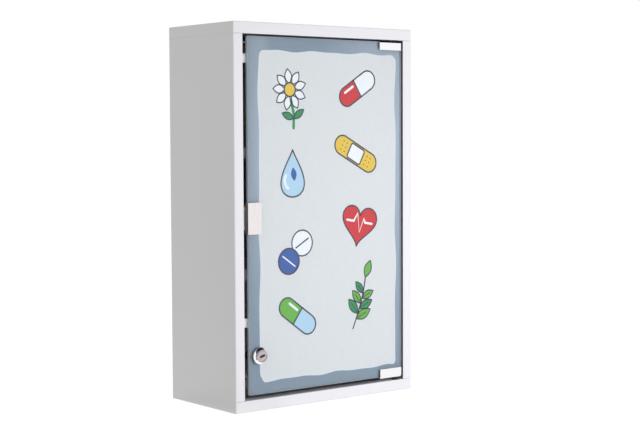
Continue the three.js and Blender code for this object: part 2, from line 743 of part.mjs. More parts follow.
function magneticCatch() {
  const earXs = [catchLeft, catchLeft + CATCH_EAR_THICKNESS];
  const earZs = [STRIKE_LEVEL - catchEarEnd, STRIKE_LEVEL + catchEarEnd];
  const bodyZs = [STRIKE_LEVEL - CATCH_HEIGHT / 2, STRIKE_LEVEL + CATCH_HEIGHT / 2];
  const ear = rectangle([catchFront, catchFront + CATCH_EAR_WIDTH], earZs, STRIKE_ROUND);
  const pocketXs = [catchMiddle - catchPocketWidth / 2, catchMiddle + catchPocketWidth / 2];
  const pocketHalf = MAGNET_HEIGHT / 2 + SEAT_GAP;
  const pocketZs = [STRIKE_LEVEL - pocketHalf, STRIKE_LEVEL + pocketHalf];
  const pocketEnd = catchFront + CATCH_POCKET;
  const body = join(
    prism(ear, "x", earXs),
    block([catchLeft, catchLeft + CATCH_WIDTH], [catchFront, catchFront + CATCH_DEPTH], bodyZs),
  );
  const pocket = block(pocketXs, [catchFront - PAST, pocketEnd], pocketZs);
  const group = new THREE.Group();
  const housing = cut(body, [pocket, ...catchScrewHoles([earXs[0] - PAST, earXs[1] + PAST])]);
  group.add(piece("catch_housing", "whitePlastic", housing));

  const plateZs = [STRIKE_LEVEL - MAGNET_HEIGHT / 2, STRIKE_LEVEL + MAGNET_HEIGHT / 2];
  const magnetXs = [catchMiddle - MAGNET_THICKNESS / 2, catchMiddle + MAGNET_THICKNESS / 2];
  const inside = pocketEnd - SEAT_GAP;
  group.add(piece("catch_magnet", "ferrite", block(magnetXs, [catchFront, inside], plateZs)));
  const poleLeft = [magnetXs[0] - SEAT_GAP - POLE_SHEET, magnetXs[0] - SEAT_GAP];
  const poleRight = [magnetXs[1] + SEAT_GAP, magnetXs[1] + SEAT_GAP + POLE_SHEET];
  group.add(piece("catch_pole_left", "zinc", block(poleLeft, [poleFront, inside], plateZs)));
  group.add(piece("catch_pole_right", "zinc", block(poleRight, [poleFront, inside], plateZs)));

  for (const [place, z] of Object.entries(catchScrewZs)) {
    const screw = piece(`catch_screw_${place}`, "zinc", screwGeometry(SCREW_LENGTH));
    screw.position.set(earXs[1] + SEAT_GAP, catchScrewY, z);
    screw.rotation.z = Math.PI / 2;
    group.add(screw);
  }
  return group;
}

// Bumpers plugged into the fold of the left side panel, behind the edge of the glass

const bumperFront = filmBack + BUMPER_AIR;
const bumperStemY = bumperFront + BUMPER_DEPTH / 2;

function bumperHoles() {
  return Object.values(bumperLevels).map((z) => {
    const hole = circle(bumperStemY, z, BUMPER_STEM / 2 + HOLE_CLEARANCE, SMALL_SIDES);
    return prism(hole, "x", throughFold);
  });
}

function bumper(level, z) {
  const headLeft = openingLeft + SEAT_GAP;
  const headZs = [z - BUMPER_HEIGHT / 2, z + BUMPER_HEIGHT / 2];
  const head = rectangle([bumperFront, bumperFront + BUMPER_DEPTH], headZs, BUMPER_ROUND);
  const stem = circle(bumperStemY, z, BUMPER_STEM / 2, SMALL_SIDES);
  const body = join(
    prism(head, "x", [headLeft, glassLeft + BUMPER_REACH]),
    prism(stem, "x", [headLeft - BUMPER_STEM_LENGTH, headLeft + BUMPER_REACH]),
  );
  return piece(`${level}_door_bumper`, "whitePlastic", body);
}

// Cam lock, in a group on its own axis: the pieces below are turned round Y

function lockFixed() {
  const bore = PLUG_DIAMETER / 2 + PLUG_CLEARANCE;
  const barrel = BARREL_DIAMETER / 2;
  const base = barrel + HEAD_OVERLAP;
  const collar = bore + HEAD_COLLAR;
  const [wide, high] = HEAD_SHOULDER;
  const housing = turned(
    [
      [bore, headFront],
      [collar, headFront],
      [collar, headBack - HEAD_FLANGE],
      [collar + (base - collar) * wide, headBack - HEAD_RIM - (HEAD_FLANGE - HEAD_RIM) * high],
      [base, headBack - HEAD_RIM],
      [base, headBack],
      [barrel, headBack],
      [barrel, barrelBack],
      [bore, barrelBack],
      [bore, headFront],
    ],
    LOCK_SIDES,
  );
  const gasketFront = headBack + SEAT_GAP;
  const gasket = turned(
    [
      [barrelHole, gasketFront],
      [base - SEAT_GAP, gasketFront],
      [base - SEAT_GAP, gasketFront + GASKET_THICKNESS],
      [barrelHole, gasketFront + GASKET_THICKNESS],
      [barrelHole, gasketFront],
    ],
    LOCK_SIDES,
  );
  const nutFront = filmBack + SEAT_GAP;
  const hexagon = circle(0, 0, (barrel + NUT_WALL) / Math.cos(Math.PI / 6), 6);
  const nutHole = circle(0, 0, barrel + HOLE_CLEARANCE, LOCK_SIDES);
  const nut = cut(prism(hexagon, "y", [nutFront, nutFront + NUT_THICKNESS]), [
    prism(nutHole, "y", [nutFront - PAST, nutFront + NUT_THICKNESS + PAST]),
  ]);
  const group = new THREE.Group();
  group.add(piece("lock_housing", "chrome", housing));
  group.add(piece("lock_gasket", "blackRubber", gasket));
  group.add(piece("lock_nut", "blackPlastic", nut));
  return group;
}

// A box round the plug's axis, turned with the keyway.
function alongKeyway(width, ys, height) {
  const box = block([-width / 2, width / 2], ys, [-height / 2, height / 2]);
  return box.rotateY(KEYWAY_TURN);
}

// The wafers lie in slots across the plug, and their windows let the key through.
function wafer(number, y) {
  const half = Math.sqrt((PLUG_DIAMETER / 2) ** 2 - (WAFER_WIDTH / 2) ** 2) - WAFER_SUNK;
  const plate = alongKeyway(WAFER_WIDTH, [y, y + WAFER_SHEET], 2 * half);
  const ends = [y - PAST, y + WAFER_SHEET + PAST];
  const opening = alongKeyway(KEYWAY_WIDTH + 2 * WAFER_AIR, ends, KEYWAY_HEIGHT + 2 * WAFER_AIR);
  return piece(`lock_wafer_${number}`, "satinNickel", cut(plate, [opening]));
}

// Plug, wafers, cam and cam screw turn together. The cam hangs down when the door is free to open.
function lockTurning() {
  const plugFront = headFront + PLUG_RECESS;
  const tailBack = camFront + CAM_SHEET;
  const waferYs = Array.from({ length: WAFERS }, (_, i) => plugFront + WAFER_START + i * WAFER_PITCH);
  const tailHalf = TAIL_SIDE / 2;
  const plugBody = join(
    prism(circle(0, 0, PLUG_DIAMETER / 2, LOCK_SIDES), "y", [plugFront, barrelBack]),
    prism(rectangle([-tailHalf, tailHalf], [-tailHalf, tailHalf]), "y", [barrelBack - PAST, tailBack]),
  );
  const keywayEnds = [plugFront - PAST, plugFront + KEYWAY_DEPTH];
  const keyway = alongKeyway(KEYWAY_WIDTH, keywayEnds, KEYWAY_HEIGHT);
  const waferSlots = waferYs.map((y) => {
    const ends = [y - WAFER_AIR, y + WAFER_SHEET + WAFER_AIR];
    return alongKeyway(WAFER_WIDTH + 2 * WAFER_AIR, ends, 2 * PLUG_DIAMETER);
  });
  const threadEnds = [tailBack - SCREW_LENGTH - CAM_PLAY, tailBack + PAST];
  const thread = prism(circle(0, 0, screwHole, SMALL_SIDES), "y", threadEnds);
  const group = new THREE.Group();
  group.add(piece("lock_plug", "satinNickel", cut(plugBody, [keyway, thread, ...waferSlots])));
  waferYs.forEach((y, i) => group.add(wafer(i + 1, y)));

  const hub = CAM_HUB / 2;
  const reach = lockX - openingLeft + CAM_OVERLAP;
  const tongue = outline([
    [-CAM_WIDTH / 2, -reach, CAM_ROUND],
    [CAM_WIDTH / 2, -reach, CAM_ROUND],
    [CAM_WIDTH / 2, 0],
    [-CAM_WIDTH / 2, 0],
  ]);
  const camEnds = [camFront, tailBack];
  const square = tailHalf + HOLE_CLEARANCE;
  const cam = cut(
    join(prism(tongue, "y", camEnds), prism(circle(0, 0, hub, PIN_SIDES), "y", camEnds)),
    [block([-square, square], [camFront - PAST, tailBack + PAST], [-square, square])],
  );
  group.add(piece("lock_cam", "zinc", cam));

  const screw = piece("lock_cam_screw", "zinc", screwGeometry(SCREW_LENGTH));
  screw.position.y = tailBack + SEAT_GAP;
  screw.rotation.z = Math.PI;
  group.add(screw);
  return group;
}

// Assembly

const catchHoles = catchScrewHoles(throughFold);
const bottomPanel = tray("bottom_panel", pivotX);
const topPanel = tray("top_panel", -pivotX);
topPanel.rotation.y = Math.PI;
topPanel.position.z = CASE_HEIGHT;

const carcass = new THREE.Group();
carcass.add(sidePanel("left_side_panel", -1, true, [...catchHoles, ...bumperHoles()]));
carcass.add(sidePanel("right_side_panel", 1, false, []));
carcass.add(topPanel, bottomPanel, backPanel());
carcass.add(...tabScrews(), ...backRivets());
carcass.add(shelf("lower", FRAME_FACE + FIRST_SHELF));
carcass.add(shelf("upper", FRAME_FACE + FIRST_SHELF + SHELF_PITCH));
carcass.add(hingeBush("upper", openingTop, 1), hingeBush("lower", FRAME_FACE, -1));
carcass.add(magneticCatch());
for (const [level, z] of Object.entries(bumperLevels)) carcass.add(bumper(level, z));

const lock = new THREE.Group();
lock.position.set(lockX, 0, LOCK_LEVEL);
lock.add(lockFixed(), lockTurning());

const door = new THREE.Group();
door.add(doorGlass(), printedFilm(), strike(), lock);
door.add(hingeOnDoor("upper", glassHigh, 1), hingeOnDoor("lower", glassLow, -1));

const cabinet = new THREE.Group();
cabinet.add(carcass, door);

export default cabinet;
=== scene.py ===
"""Looks of a wall cabinet for medicines: powder-coated case, printed glass door, bright metal fittings.

Metres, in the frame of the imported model: +Z is up and the door faces -Y.
"""

import json
import math

import bmesh
import bpy
from bpy.props import FloatProperty, FloatVectorProperty, PointerProperty
from mathutils import Matrix, Vector


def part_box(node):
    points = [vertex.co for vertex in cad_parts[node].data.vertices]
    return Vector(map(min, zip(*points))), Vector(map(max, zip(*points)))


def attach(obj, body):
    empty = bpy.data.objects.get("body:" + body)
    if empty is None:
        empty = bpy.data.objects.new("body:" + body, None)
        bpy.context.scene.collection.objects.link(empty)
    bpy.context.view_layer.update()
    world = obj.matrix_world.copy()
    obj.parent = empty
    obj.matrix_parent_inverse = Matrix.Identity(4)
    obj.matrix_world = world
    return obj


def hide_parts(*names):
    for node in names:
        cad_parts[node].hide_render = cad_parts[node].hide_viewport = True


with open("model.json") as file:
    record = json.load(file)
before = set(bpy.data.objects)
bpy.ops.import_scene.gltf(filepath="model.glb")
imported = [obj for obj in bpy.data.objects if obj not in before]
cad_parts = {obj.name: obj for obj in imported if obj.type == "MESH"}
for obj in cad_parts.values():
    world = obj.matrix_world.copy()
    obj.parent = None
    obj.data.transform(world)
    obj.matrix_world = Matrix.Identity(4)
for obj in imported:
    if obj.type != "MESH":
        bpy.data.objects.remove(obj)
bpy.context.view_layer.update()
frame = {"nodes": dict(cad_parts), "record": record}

bl_info = {
    "name": "Medicine cabinet",
    "version": (1, 0, 0),
    "blender": (4, 5, 0),
    "location": "3D View > Sidebar > Cabinet",
    "description": "Dresses the solids of a glass door medicine cabinet",
    "category": "Object",
}

MM = 0.001
PHOTO_WIDTH = 640
SENSOR_WIDTH = 36.0

RECORD = frame["record"]
BODY_OF = {node: body for body, nodes in RECORD["behaviour"]["bodies"].items() for node in nodes}
SLOT_OF = {row["node"]: row["material_slot"] for row in RECORD["subparts"]}


# Settings

def srgb_to_linear(value):
    """One channel of a colour, from 0 to 1."""
    if value <= 0.04045:
        return value / 12.92
    return ((value + 0.055) / 1.055) ** 2.4


def colour(name, description, red, green, blue):
    """A colour setting, with its default written in sRGB from 0 to 255."""
    default = [srgb_to_linear(channel / 255) for channel in (red, green, blue)]
    return FloatVectorProperty(
        name=name, description=description, default=default, size=3, min=0.0, max=1.0, subtype="COLOR"
    )


def length(name, description, millimetres):
    """A length setting, with its default written in millimetres."""
    return FloatProperty(
        name=name, description=description, default=millimetres * MM, min=0.0, unit="LENGTH"
    )


def angle(name, description, degrees):
    """An angle setting, with its default written in degrees."""
    return FloatProperty(name=name, description=description, default=math.radians(degrees), unit="ROTATION")


class CabinetFinishes(bpy.types.PropertyGroup):
    """Colours of the cabinet."""

    paint: colour("Powder coat", "Case, shelves and shelf brackets", 237, 237, 237)
    glass: colour("Glass", "Tint of the door's glass", 250, 253, 252)
    glass_edge: colour("Ground glass", "Ground edge of the door's glass", 186, 195, 200)
    film: colour("Frosted film", "Pale middle of the door", 222, 224, 224)
    border: colour("Border", "Printed border of the door", 128, 145, 159)
    # Painted light: the border's lighter tone where more light falls on it, by the upper hinge and by the
    # pull
    painted_light_border: colour("Thin border", "Border where its ink is thinnest", 172, 183, 195)
    rim: colour("Rim", "Pale line along the border", 218, 227, 234)
    outline: colour("Outline ink", "Lines of the print", 40, 46, 64)
    red: colour("Red ink", "Red of the print", 206, 34, 42)
    leaf: colour("Leaf ink", "Light green of the print", 98, 176, 58)
    fern: colour("Fern ink", "Dark green of the print", 4, 140, 74)
    sky: colour("Sky ink", "Light blue of the print", 178, 214, 236)
    blue: colour("Blue ink", "Dark blue of the print", 40, 84, 160)
    ochre: colour("Ochre ink", "Yellow of the print", 232, 196, 66)
    white: colour("White ink", "White of the print", 243, 246, 249)
    chrome: colour("Chrome", "Hinge clamps and lock housing", 249, 249, 251)
    nickel: colour("Satin nickel", "Pull plate, and plug and wafers of the lock", 252, 245, 246)
    # Painted shade: a darker nickel for the pull plate's folded side, which faces the dark gap
    dull_nickel: colour("Dull nickel", "Folded side of the pull plate", 130, 127, 129)
    worn_nickel: colour("Worn nickel", "Face of the lock", 208, 198, 198)
    zinc: colour("Zinc", "Screws, rivets, pins, pole plates and cam", 192, 196, 200)
    plastic: colour("White plastic", "Bumpers and the housing of the catch", 243, 243, 241)
    black_plastic: colour("Black plastic", "Hinge bushes and lock nut", 36, 36, 38)
    rubber: colour("Rubber", "Liners and gasket", 30, 30, 31)
    ferrite: colour("Ferrite", "Magnet of the catch", 48, 48, 50)


class CabinetSizes(bpy.types.PropertyGroup):
    """Sizes that only the looks need."""

    paint_edge: length("Painted edge", "Rounding of the painted sheet's edges", 0.2)
    seam_wall: length("Seam wall", "Depth of the sides in which their seams are filled", 1.05)
    seam_fill: length("Seam fill", "How much of a side's seams the paint fills", 0.26)
    metal_edge: length("Metal edge", "Rounding of the fittings' edges", 0.3)
    fine_edge: length("Fine edge", "Rounding of the smallest pieces' edges", 0.12)
    plastic_edge: length("Plastic edge", "Rounding of the moulded pieces' edges", 0.7)
    plate_edge: length("Plate edge", "Rounding of the pull plate's edges", 0.55)
    clamp_edge: length("Clamp edge", "Rounding of the hinge clamps' edges", 0.35)
    glass_arris: length("Glass arris", "Ground edge of the glass", 0.7)
    border_latch_side: length("Border on the latch side", "Border next to the lock", 18.0)
    border_hinge_side: length("Border on the hinge side", "Border next to the hinges", 8.6)
    border_bottom: length("Border at the bottom", "Border along the lower edge", 15.0)
    border_top: length("Border at the top", "Border along the upper edge", 17.0)
    border_corner: length("Border corner", "Rounding of the border's inner corners", 9.0)
    border_wave: length("Border wave", "How far the border's inner edge waves", 1.5)
    rim_width: length("Rim width", "Pale line along the border", 2.2)
    line_width: length("Line width", "Outlines of the print", 1.9)


class CabinetStudio(bpy.types.PropertyGroup):
    """Camera and light."""

    camera_place: FloatVectorProperty(
        name="Camera place",
        description="Where the camera stands",
        default=(-1.213, -1.593, 0.360),
        subtype="TRANSLATION",
        unit="LENGTH",
    )
    camera_yaw: angle("Camera yaw", "Turn of the camera from +Y towards +X", 38.35)
    camera_pitch: angle("Camera pitch", "Tilt of the camera below the horizon", 3.43)
    camera_roll: angle("Camera roll", "Turn of the camera about its view", -0.24)
    focal_pixels: FloatProperty(
        name="Focal length", description="In pixels of the photograph's frame", default=1463.0, min=1.0
    )
    lamp_power: FloatProperty(
        name="Lamp", description="Power of the lamp low in front of the door", default=4.6, unit="POWER"
    )
    room_light: FloatProperty(
        name="Room light", description="Strength of the even light from all round", default=0.842, min=0.0
    )
    floor_lift: FloatProperty(
        name="Floor lift",
        description="Glow of the floor, in full for the camera and in part for bounced light",
        default=0.9,
        min=0.0,
    )


# Materials

class Value:
    """A shader socket that takes part in Python expressions."""

    def __init__(self, finish, socket):
        self.finish = finish
        self.socket = socket

    def __add__(self, other):
        return self.finish.maths("ADD", self, other)

    def __radd__(self, other):
        return self.finish.maths("ADD", other, self)

    def __mul__(self, other):
        return self.finish.maths("MULTIPLY", self, other)

    def __rmul__(self, other):
        return self.finish.maths("MULTIPLY", other, self)


# The Mix node's sockets for colours
MIX_FIRST = 6
MIX_SECOND = 7
MIX_RESULT = 2


class Finish:
    """A material, or the world, and its nodes."""

    def __init__(self, owner):
        owner.use_nodes = True
        self.owner = owner
        self.tree = owner.node_tree
        self.tree.nodes.clear()

    def node(self, kind, settings, sockets, output=0):
        """Adds a node, applies its settings, then sets or links its sockets."""
        made = self.tree.nodes.new(kind)
        for name, value in settings.items():
            setattr(made, name, value)
        for name, value in sockets.items():
            if isinstance(value, Value):
                self.tree.links.new(value.socket, made.inputs[name])
            else:
                made.inputs[name].default_value = value
        return Value(self, made.outputs[output]) if made.outputs else made

    def maths(self, operation, first, second):
        return self.node("ShaderNodeMath", {"operation": operation}, {0: first, 1: second})

    def mix(self, factor, first, second):
        """A colour between two colours."""
        sockets = {"Factor": factor, MIX_FIRST: first, MIX_SECOND: second}
        return self.node("ShaderNodeMix", {"data_type": "RGBA"}, sockets, output=MIX_RESULT)

    def shades(self, factor, tone, low, high):
        """A colour that runs from one share of its tone to another."""
        return self.mix(factor, opaque(tone, low), opaque(tone, high))

    def place(self, scale=(1.0, 1.0, 1.0), shift=(0.0, 0.0, 0.0)):
        """Where a point is on its piece, scaled and then shifted."""
        here = self.node("ShaderNodeTexCoord", {}, {}, output="Object")
        return self.node("ShaderNodeMapping", {}, {"Vector": here, "Location": shift, "Scale": scale})

    def noise(self, size, detail=2.0, stretch=(1.0, 1.0, 1.0)):
        """Noise with grains of about this size, drawn out along the axes where stretch is above 1."""
        place = self.place([1.0 / factor for factor in stretch])
        return self.node("ShaderNodeTexNoise", {}, {"Vector": place, "Scale": 1.0 / size, "Detail": detail})

    def spangle(self, size):
        """Flat cells of about this size, each with its own value."""
        sockets = {"Vector": self.place(), "Scale": 1.0 / size}
        cell = self.node("ShaderNodeTexVoronoi", {}, sockets, output="Color")
        return self.node("ShaderNodeSeparateColor", {}, {"Color": cell})

    def spot(self, middle, reach):
        """1 in the middle, falling to 0 at its reach along each axis."""
        scale = [1.0 / span for span in reach]
        shift = [-centre / span for centre, span in zip(middle, reach)]
        sockets = {"Vector": self.place(scale, shift)}
        return self.node("ShaderNodeTexGradient", {"gradient_type": "SPHERICAL"}, sockets, output="Fac")

    def bump(self, height, distance, strength):
        sockets = {"Height": height, "Distance": distance, "Strength": strength}
        return self.node("ShaderNodeBump", {}, sockets, output="Normal")

    def principled(self, sockets):
        return self.node("ShaderNodeBsdfPrincipled", {}, sockets)

    def surface(self, shader):
        self.node("ShaderNodeOutputMaterial", {}, {"Surface": shader})
        return self.owner

    def coat(self, tone, rough, normal=None, metallic=0.0):
        """Finishes the material as one that lets no light through."""
        sockets = {"Base Color": tone, "Roughness": rough, "Metallic": metallic}
        if normal:
            sockets["Normal"] = normal
        return self.surface(self.principled(sockets))


def looks():
    return bpy.context.scene.cabinet_finishes


def sizes():
    return bpy.context.scene.cabinet_sizes


def opaque(tone, share=1.0):
    """A colour with its alpha, scaled by a share."""
    return (*[channel * share for channel in tone], 1.0)


def powder_coat(material):
    finish = Finish(material)
    cloud = finish.noise(70 * MM)
    peel = finish.noise(1.6 * MM, detail=1.0)
    tone = finish.shades(cloud, looks().paint, 0.985, 1.0)
    normal = finish.bump(peel, distance=0.1 * MM, strength=0.2)
    return finish.coat(tone, 0.38 + 0.1 * cloud, normal)


def clear_glass(material):
    """The print behind the pane is lit once, because shadow rays and diffuse rays pass straight through."""
    finish = Finish(material)
    smear = finish.noise(40 * MM, stretch=(1.0, 1.0, 3.0))
    pane = finish.principled(
        {
            "Base Color": opaque(looks().glass),
            "Roughness": 0.012 * smear,
            "IOR": 1.5,
            "Transmission Weight": 1.0,
        }
    )
    through = finish.node("ShaderNodeBsdfTransparent", {}, {"Color": opaque(looks().glass)})
    for ray in ("Is Shadow Ray", "Is Diffuse Ray"):
        path = finish.node("ShaderNodeLightPath", {}, {}, output=ray)
        pane = finish.node("ShaderNodeMixShader", {}, {0: path, 1: pane, 2: through})
    return finish.surface(pane)


def glass_edge(material):
    """Ground with a belt along the edge, so it lets little light through."""
    finish = Finish(material)
    scuff = finish.noise(0.6 * MM, stretch=(1.0, 1.0, 8.0))
    tone = finish.shades(scuff, looks().glass_edge, 0.85, 1.1)
    return finish.coat(tone, 0.3 + 0.2 * scuff)


def frosted_film(material):
    finish = Finish(material)
    cloud = finish.noise(90 * MM)
    grain = finish.noise(0.9 * MM)
    tone = finish.shades(cloud, looks().film, 0.97, 1.02)
    normal = finish.bump(grain, distance=0.04 * MM, strength=0.2)
    return finish.coat(tone, 0.55 + 0.12 * grain, normal)


# Patches of painted light, where the border is drawn lighter: middle and reach in metres, and the second
# one's share
PAINTED_LIGHT_BY_HINGE = (0.14, 0.0, 0.34), (0.16, 1.0, 0.34)
PAINTED_LIGHT_BY_PULL = (-0.109, 0.0, 0.345), (0.024, 1.0, 0.26)
PAINTED_LIGHT_SHARE_BY_PULL = 0.7


def ink(material, tone, lit_tone=None):
    """Screen-printed ink, a little uneven in depth. Where a lighter tone is given, it is painted light by
    the upper hinge and by the pull.
    """
    finish = Finish(material)
    depth = finish.noise(6 * MM)
    grain = finish.noise(0.5 * MM)
    shade = finish.shades(depth, tone, 0.94, 1.0)
    if lit_tone:
        # Painted light: a lighter border tone mixed in by the upper hinge and by the pull
        lit_share = finish.spot(*PAINTED_LIGHT_BY_HINGE) + PAINTED_LIGHT_SHARE_BY_PULL * finish.spot(*PAINTED_LIGHT_BY_PULL)
        shade = finish.mix(lit_share, shade, opaque(lit_tone))
    return finish.coat(shade, 0.42 + 0.1 * grain)


def chrome(material):
    finish = Finish(material)
    haze = finish.noise(7 * MM)
    return finish.coat(opaque(looks().chrome), 0.04 + 0.06 * haze, metallic=1.0)


def satin_nickel(material):
    """Brushed along its height."""
    finish = Finish(material)
    brush = finish.noise(0.3 * MM, stretch=(1.0, 1.0, 60.0))
    tone = finish.shades(brush, looks().nickel, 0.93, 1.0)
    normal = finish.bump(brush, distance=0.02 * MM, strength=0.2)
    return finish.coat(tone, 0.2 + 0.14 * brush, normal, metallic=1.0)


def worn_nickel(material):
    """Dulled by use."""
    finish = Finish(material)
    cloud = finish.noise(5 * MM)
    scratch = finish.noise(0.25 * MM, detail=3.0)
    tone = finish.shades(cloud, looks().worn_nickel, 0.88, 1.08)
    normal = finish.bump(scratch, distance=0.02 * MM, strength=0.15)
    return finish.coat(tone, 0.24 + 0.14 * scratch, normal, metallic=1.0)


def dull_nickel(material):
    """Painted shade: the satin nickel darkened, and rougher, for the side that faces the dark gap."""
    finish = Finish(material)
    mottle = finish.noise(0.6 * MM, detail=3.0)
    tone = finish.shades(mottle, looks().dull_nickel, 0.85, 1.15)
    return finish.coat(tone, 0.45 + 0.2 * mottle, metallic=1.0)


def zinc(material):
    finish = Finish(material)
    cell = finish.spangle(1.4 * MM)
    tone = finish.shades(cell, looks().zinc, 0.86, 1.0)
    return finish.coat(tone, 0.24 + 0.2 * cell, metallic=1.0)


def white_plastic(material):
    finish = Finish(material)
    grain = finish.noise(0.8 * MM)
    cloud = finish.noise(9 * MM)
    tone = finish.shades(cloud, looks().plastic, 0.97, 1.0)
    normal = finish.bump(grain, distance=0.03 * MM, strength=0.2)
    return finish.coat(tone, 0.3 + 0.12 * cloud, normal)


def black_plastic(material):
    finish = Finish(material)
    cloud = finish.noise(4 * MM)
    tone = finish.shades(cloud, looks().black_plastic, 0.85, 1.2)
    return finish.coat(tone, 0.4 + 0.15 * cloud)


def rubber(material):
    finish = Finish(material)
    grain = finish.noise(0.4 * MM)
    bloom = finish.noise(5 * MM)
    tone = finish.shades(bloom, looks().rubber, 1.0, 1.5)
    normal = finish.bump(grain, distance=0.03 * MM, strength=0.3)
    return finish.coat(tone, 0.62 + 0.2 * bloom, normal)


def ferrite(material):
    finish = Finish(material)
    grit = finish.noise(0.35 * MM, detail=4.0)
    tone = finish.shades(grit, looks().ferrite, 0.8, 1.3)
    normal = finish.bump(grit, distance=0.04 * MM, strength=0.4)
    return finish.coat(tone, 0.5 + 0.25 * grit, normal)


SLOT_FINISHES = {
    "white_paint": powder_coat,
    "clear_glass": clear_glass,
    "frosted_film": frosted_film,
    "chrome": chrome,
    "satin_nickel": satin_nickel,
    "zinc": zinc,
    "white_plastic": white_plastic,
    "black_plastic": black_plastic,
    "black_rubber": rubber,
    "ferrite": ferrite,
}

# Finishes of single faces, which go with the slot of their piece
FACE_FINISHES = {"glass_edge": glass_edge, "worn_nickel": worn_nickel, "dull_nickel": dull_nickel}


def slot_material(slot):
    """The material of one of the record's slots or of single faces, made when it is first asked for."""
    name = f"finish_{slot}"
    make = SLOT_FINISHES.get(slot) or FACE_FINISHES[slot]
    return bpy.data.materials.get(name) or make(bpy.data.materials.new(name))


def ink_material(tone):
    """The material of one ink of the print."""
    name = f"ink_{tone}"
    # Only the border gets the painted light
    lit_tone = looks().painted_light_border if tone == "border" else None
    found = bpy.data.materials.get(name)
    return found or ink(bpy.data.materials.new(name), getattr(looks(), tone), lit_tone)


# Meshes

# Points nearer than this become one
WELD = 0.002 * MM

# Turns at an edge: a flat face may have this much, a sharp edge more, and a crisp piece is sharp sooner
FLAT = math.radians(0.5)
SHARP = math.radians(34.0)
CRISP = math.radians(12.0)

# Flat faces with more corners than this are split into triangles
MANY_CORNERS = 12

# The least part of a normal along an axis with which a face counts as facing that way
FACING = 0.5

# The place of a piece's second material
SECOND = 1

# Sides of round pieces, of those with a hexagon in them, and of the hexagon
ROUND_SIDES = 40
HEX_SIDES = 36
HEX = 6


def new_piece(name, mesh, material, body, stands_for=()):
    """An object that rides on a body, with its material and the solids that it stands for."""
    piece = bpy.data.objects.new(name, mesh)
    bpy.context.scene.collection.objects.link(piece)
    mesh.materials.clear()
    mesh.materials.append(material)
    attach(piece, body)
    if stands_for:
        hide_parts(*stands_for)
    return piece


def shade(mesh, sharp=SHARP):
    """Smooth faces that meet in sharp edges."""
    mesh.polygons.foreach_set("use_smooth", [True] * len(mesh.polygons))
    mesh.set_sharp_from_angle(angle=sharp)


def finished(work, name, sharp=SHARP):
    """A mesh made from a bmesh, with its faces turned out."""
    bmesh.ops.recalc_face_normals(work, faces=work.faces)
    mesh = bpy.data.meshes.new(name)
    work.to_mesh(mesh)
    work.free()
    shade(mesh, sharp)
    return mesh


def whole_faces(node, name, sharp):
    """A copy of a solid's mesh with whole flat faces, but for those with many corners."""
    work = bmesh.new()
    work.from_mesh(frame["nodes"][node].data)
    bmesh.ops.remove_doubles(work, verts=work.verts, dist=WELD)
    bmesh.ops.dissolve_limit(work, angle_limit=FLAT, verts=work.verts, edges=work.edges)
    ragged = [face for face in work.faces if len(face.verts) > MANY_CORNERS]
    bmesh.ops.triangulate(work, faces=ragged)
    return finished(work, name, sharp)


def second_finish(piece, name, chosen):
    """Gives another finish to the faces of a piece that are chosen by their middle and normal."""
    piece.data.materials.append(slot_material(name))
    for face in piece.data.polygons:
        if chosen(face.center, face.normal):
            face.material_index = SECOND


def softened(node, edge, steps=3, sharp=SHARP):
    """Stands for a solid, with its edges rounded."""
    name = f"{node}_finished"
    slot = SLOT_OF[node]
    mesh = whole_faces(node, name, sharp)
    piece = new_piece(name, mesh, slot_material(slot), BODY_OF[node], [node])
    bevel = piece.modifiers.new("edges", "BEVEL")
    bevel.width = edge
    bevel.segments = steps
    bevel.limit_method = "ANGLE"
    bevel.angle_limit = SHARP
    bevel.use_clamp_overlap = True
    bevel.miter_outer = "MITER_ARC"
    normals = piece.modifiers.new("normals", "WEIGHTED_NORMAL")
    normals.keep_sharp = True
    return piece


def refinished(node):
    """A solid that stays as it is, with the material of its slot."""
    solid = frame["nodes"][node]
    solid.data.materials.clear()
    solid.data.materials.append(slot_material(SLOT_OF[node]))


def turned(name, rows, sides=ROUND_SIDES, tube=False):
    """A mesh turned round +Z from rows of radius, height and, for a polygon, its number of corners."""
    work = bmesh.new()
    rings = []
    for radius, height, *polygon in rows:
        if radius == 0:
            rings.append([work.verts.new((0, 0, height))])
            continue
        ring = []
        for i in range(sides):
            turn = 2 * math.pi * i / sides
            reach = radius
            if polygon:
                half = math.pi / polygon[0]
                reach = radius * math.cos(half) / math.cos(turn % (2 * half) - half)
            ring.append(work.verts.new((reach * math.cos(turn), reach * math.sin(turn), height)))
        rings.append(ring)
    pairs = list(zip(rings, rings[1:]))
    if tube:
        pairs.append((rings[-1], rings[0]))
    for lower, upper in pairs:
        for i in range(sides):
            after = (i + 1) % sides
            corners = [lower[i % len(lower)], lower[after % len(lower)]]
            corners += [upper[after % len(upper)], upper[i % len(upper)]]
            work.faces.new(list(dict.fromkeys(corners)))
    return finished(work, name)


def along(start, direction):
    """The placing of something turned round +Z, so that it starts here and points this way."""
    turn = Vector(direction).to_track_quat("Z", "Y").to_matrix().to_4x4()
    return Matrix.Translation(start) @ turn


def turned_piece(node, direction, rows_for, sides=ROUND_SIDES, tube=False):
    """Stands for a round solid: rows_for gets its length and widest radius and gives its rows."""
    low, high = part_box(node)
    way = Vector(direction)
    size = high - low
    reach = abs(size.dot(way))
    radius = min(side for side, part in zip(size, way) if part == 0) / 2
    start = (low + high) / 2 - way * reach / 2
    name = f"{node}_finished"
    mesh = turned(name, rows_for(reach, radius), sides, tube)
    mesh.transform(along(start, way))
    slot = SLOT_OF[node]
    return new_piece(name, mesh, slot_material(slot), BODY_OF[node], [node])


def quarter(radius_from, height_from, radius_to, height_to, steps=4):
    """Rows of a rounded shoulder, full first and falling off at the end."""
    rows = []
    for i in range(steps + 1):
        turn = math.pi / 2 * i / steps
        radius = radius_from + (radius_to - radius_from) * math.sin(turn)
        height = height_from + (height_to - height_from) * (1 - math.cos(turn))
        rows.append((radius, height))
    return rows


# Fasteners, with heights from the outer end of the head

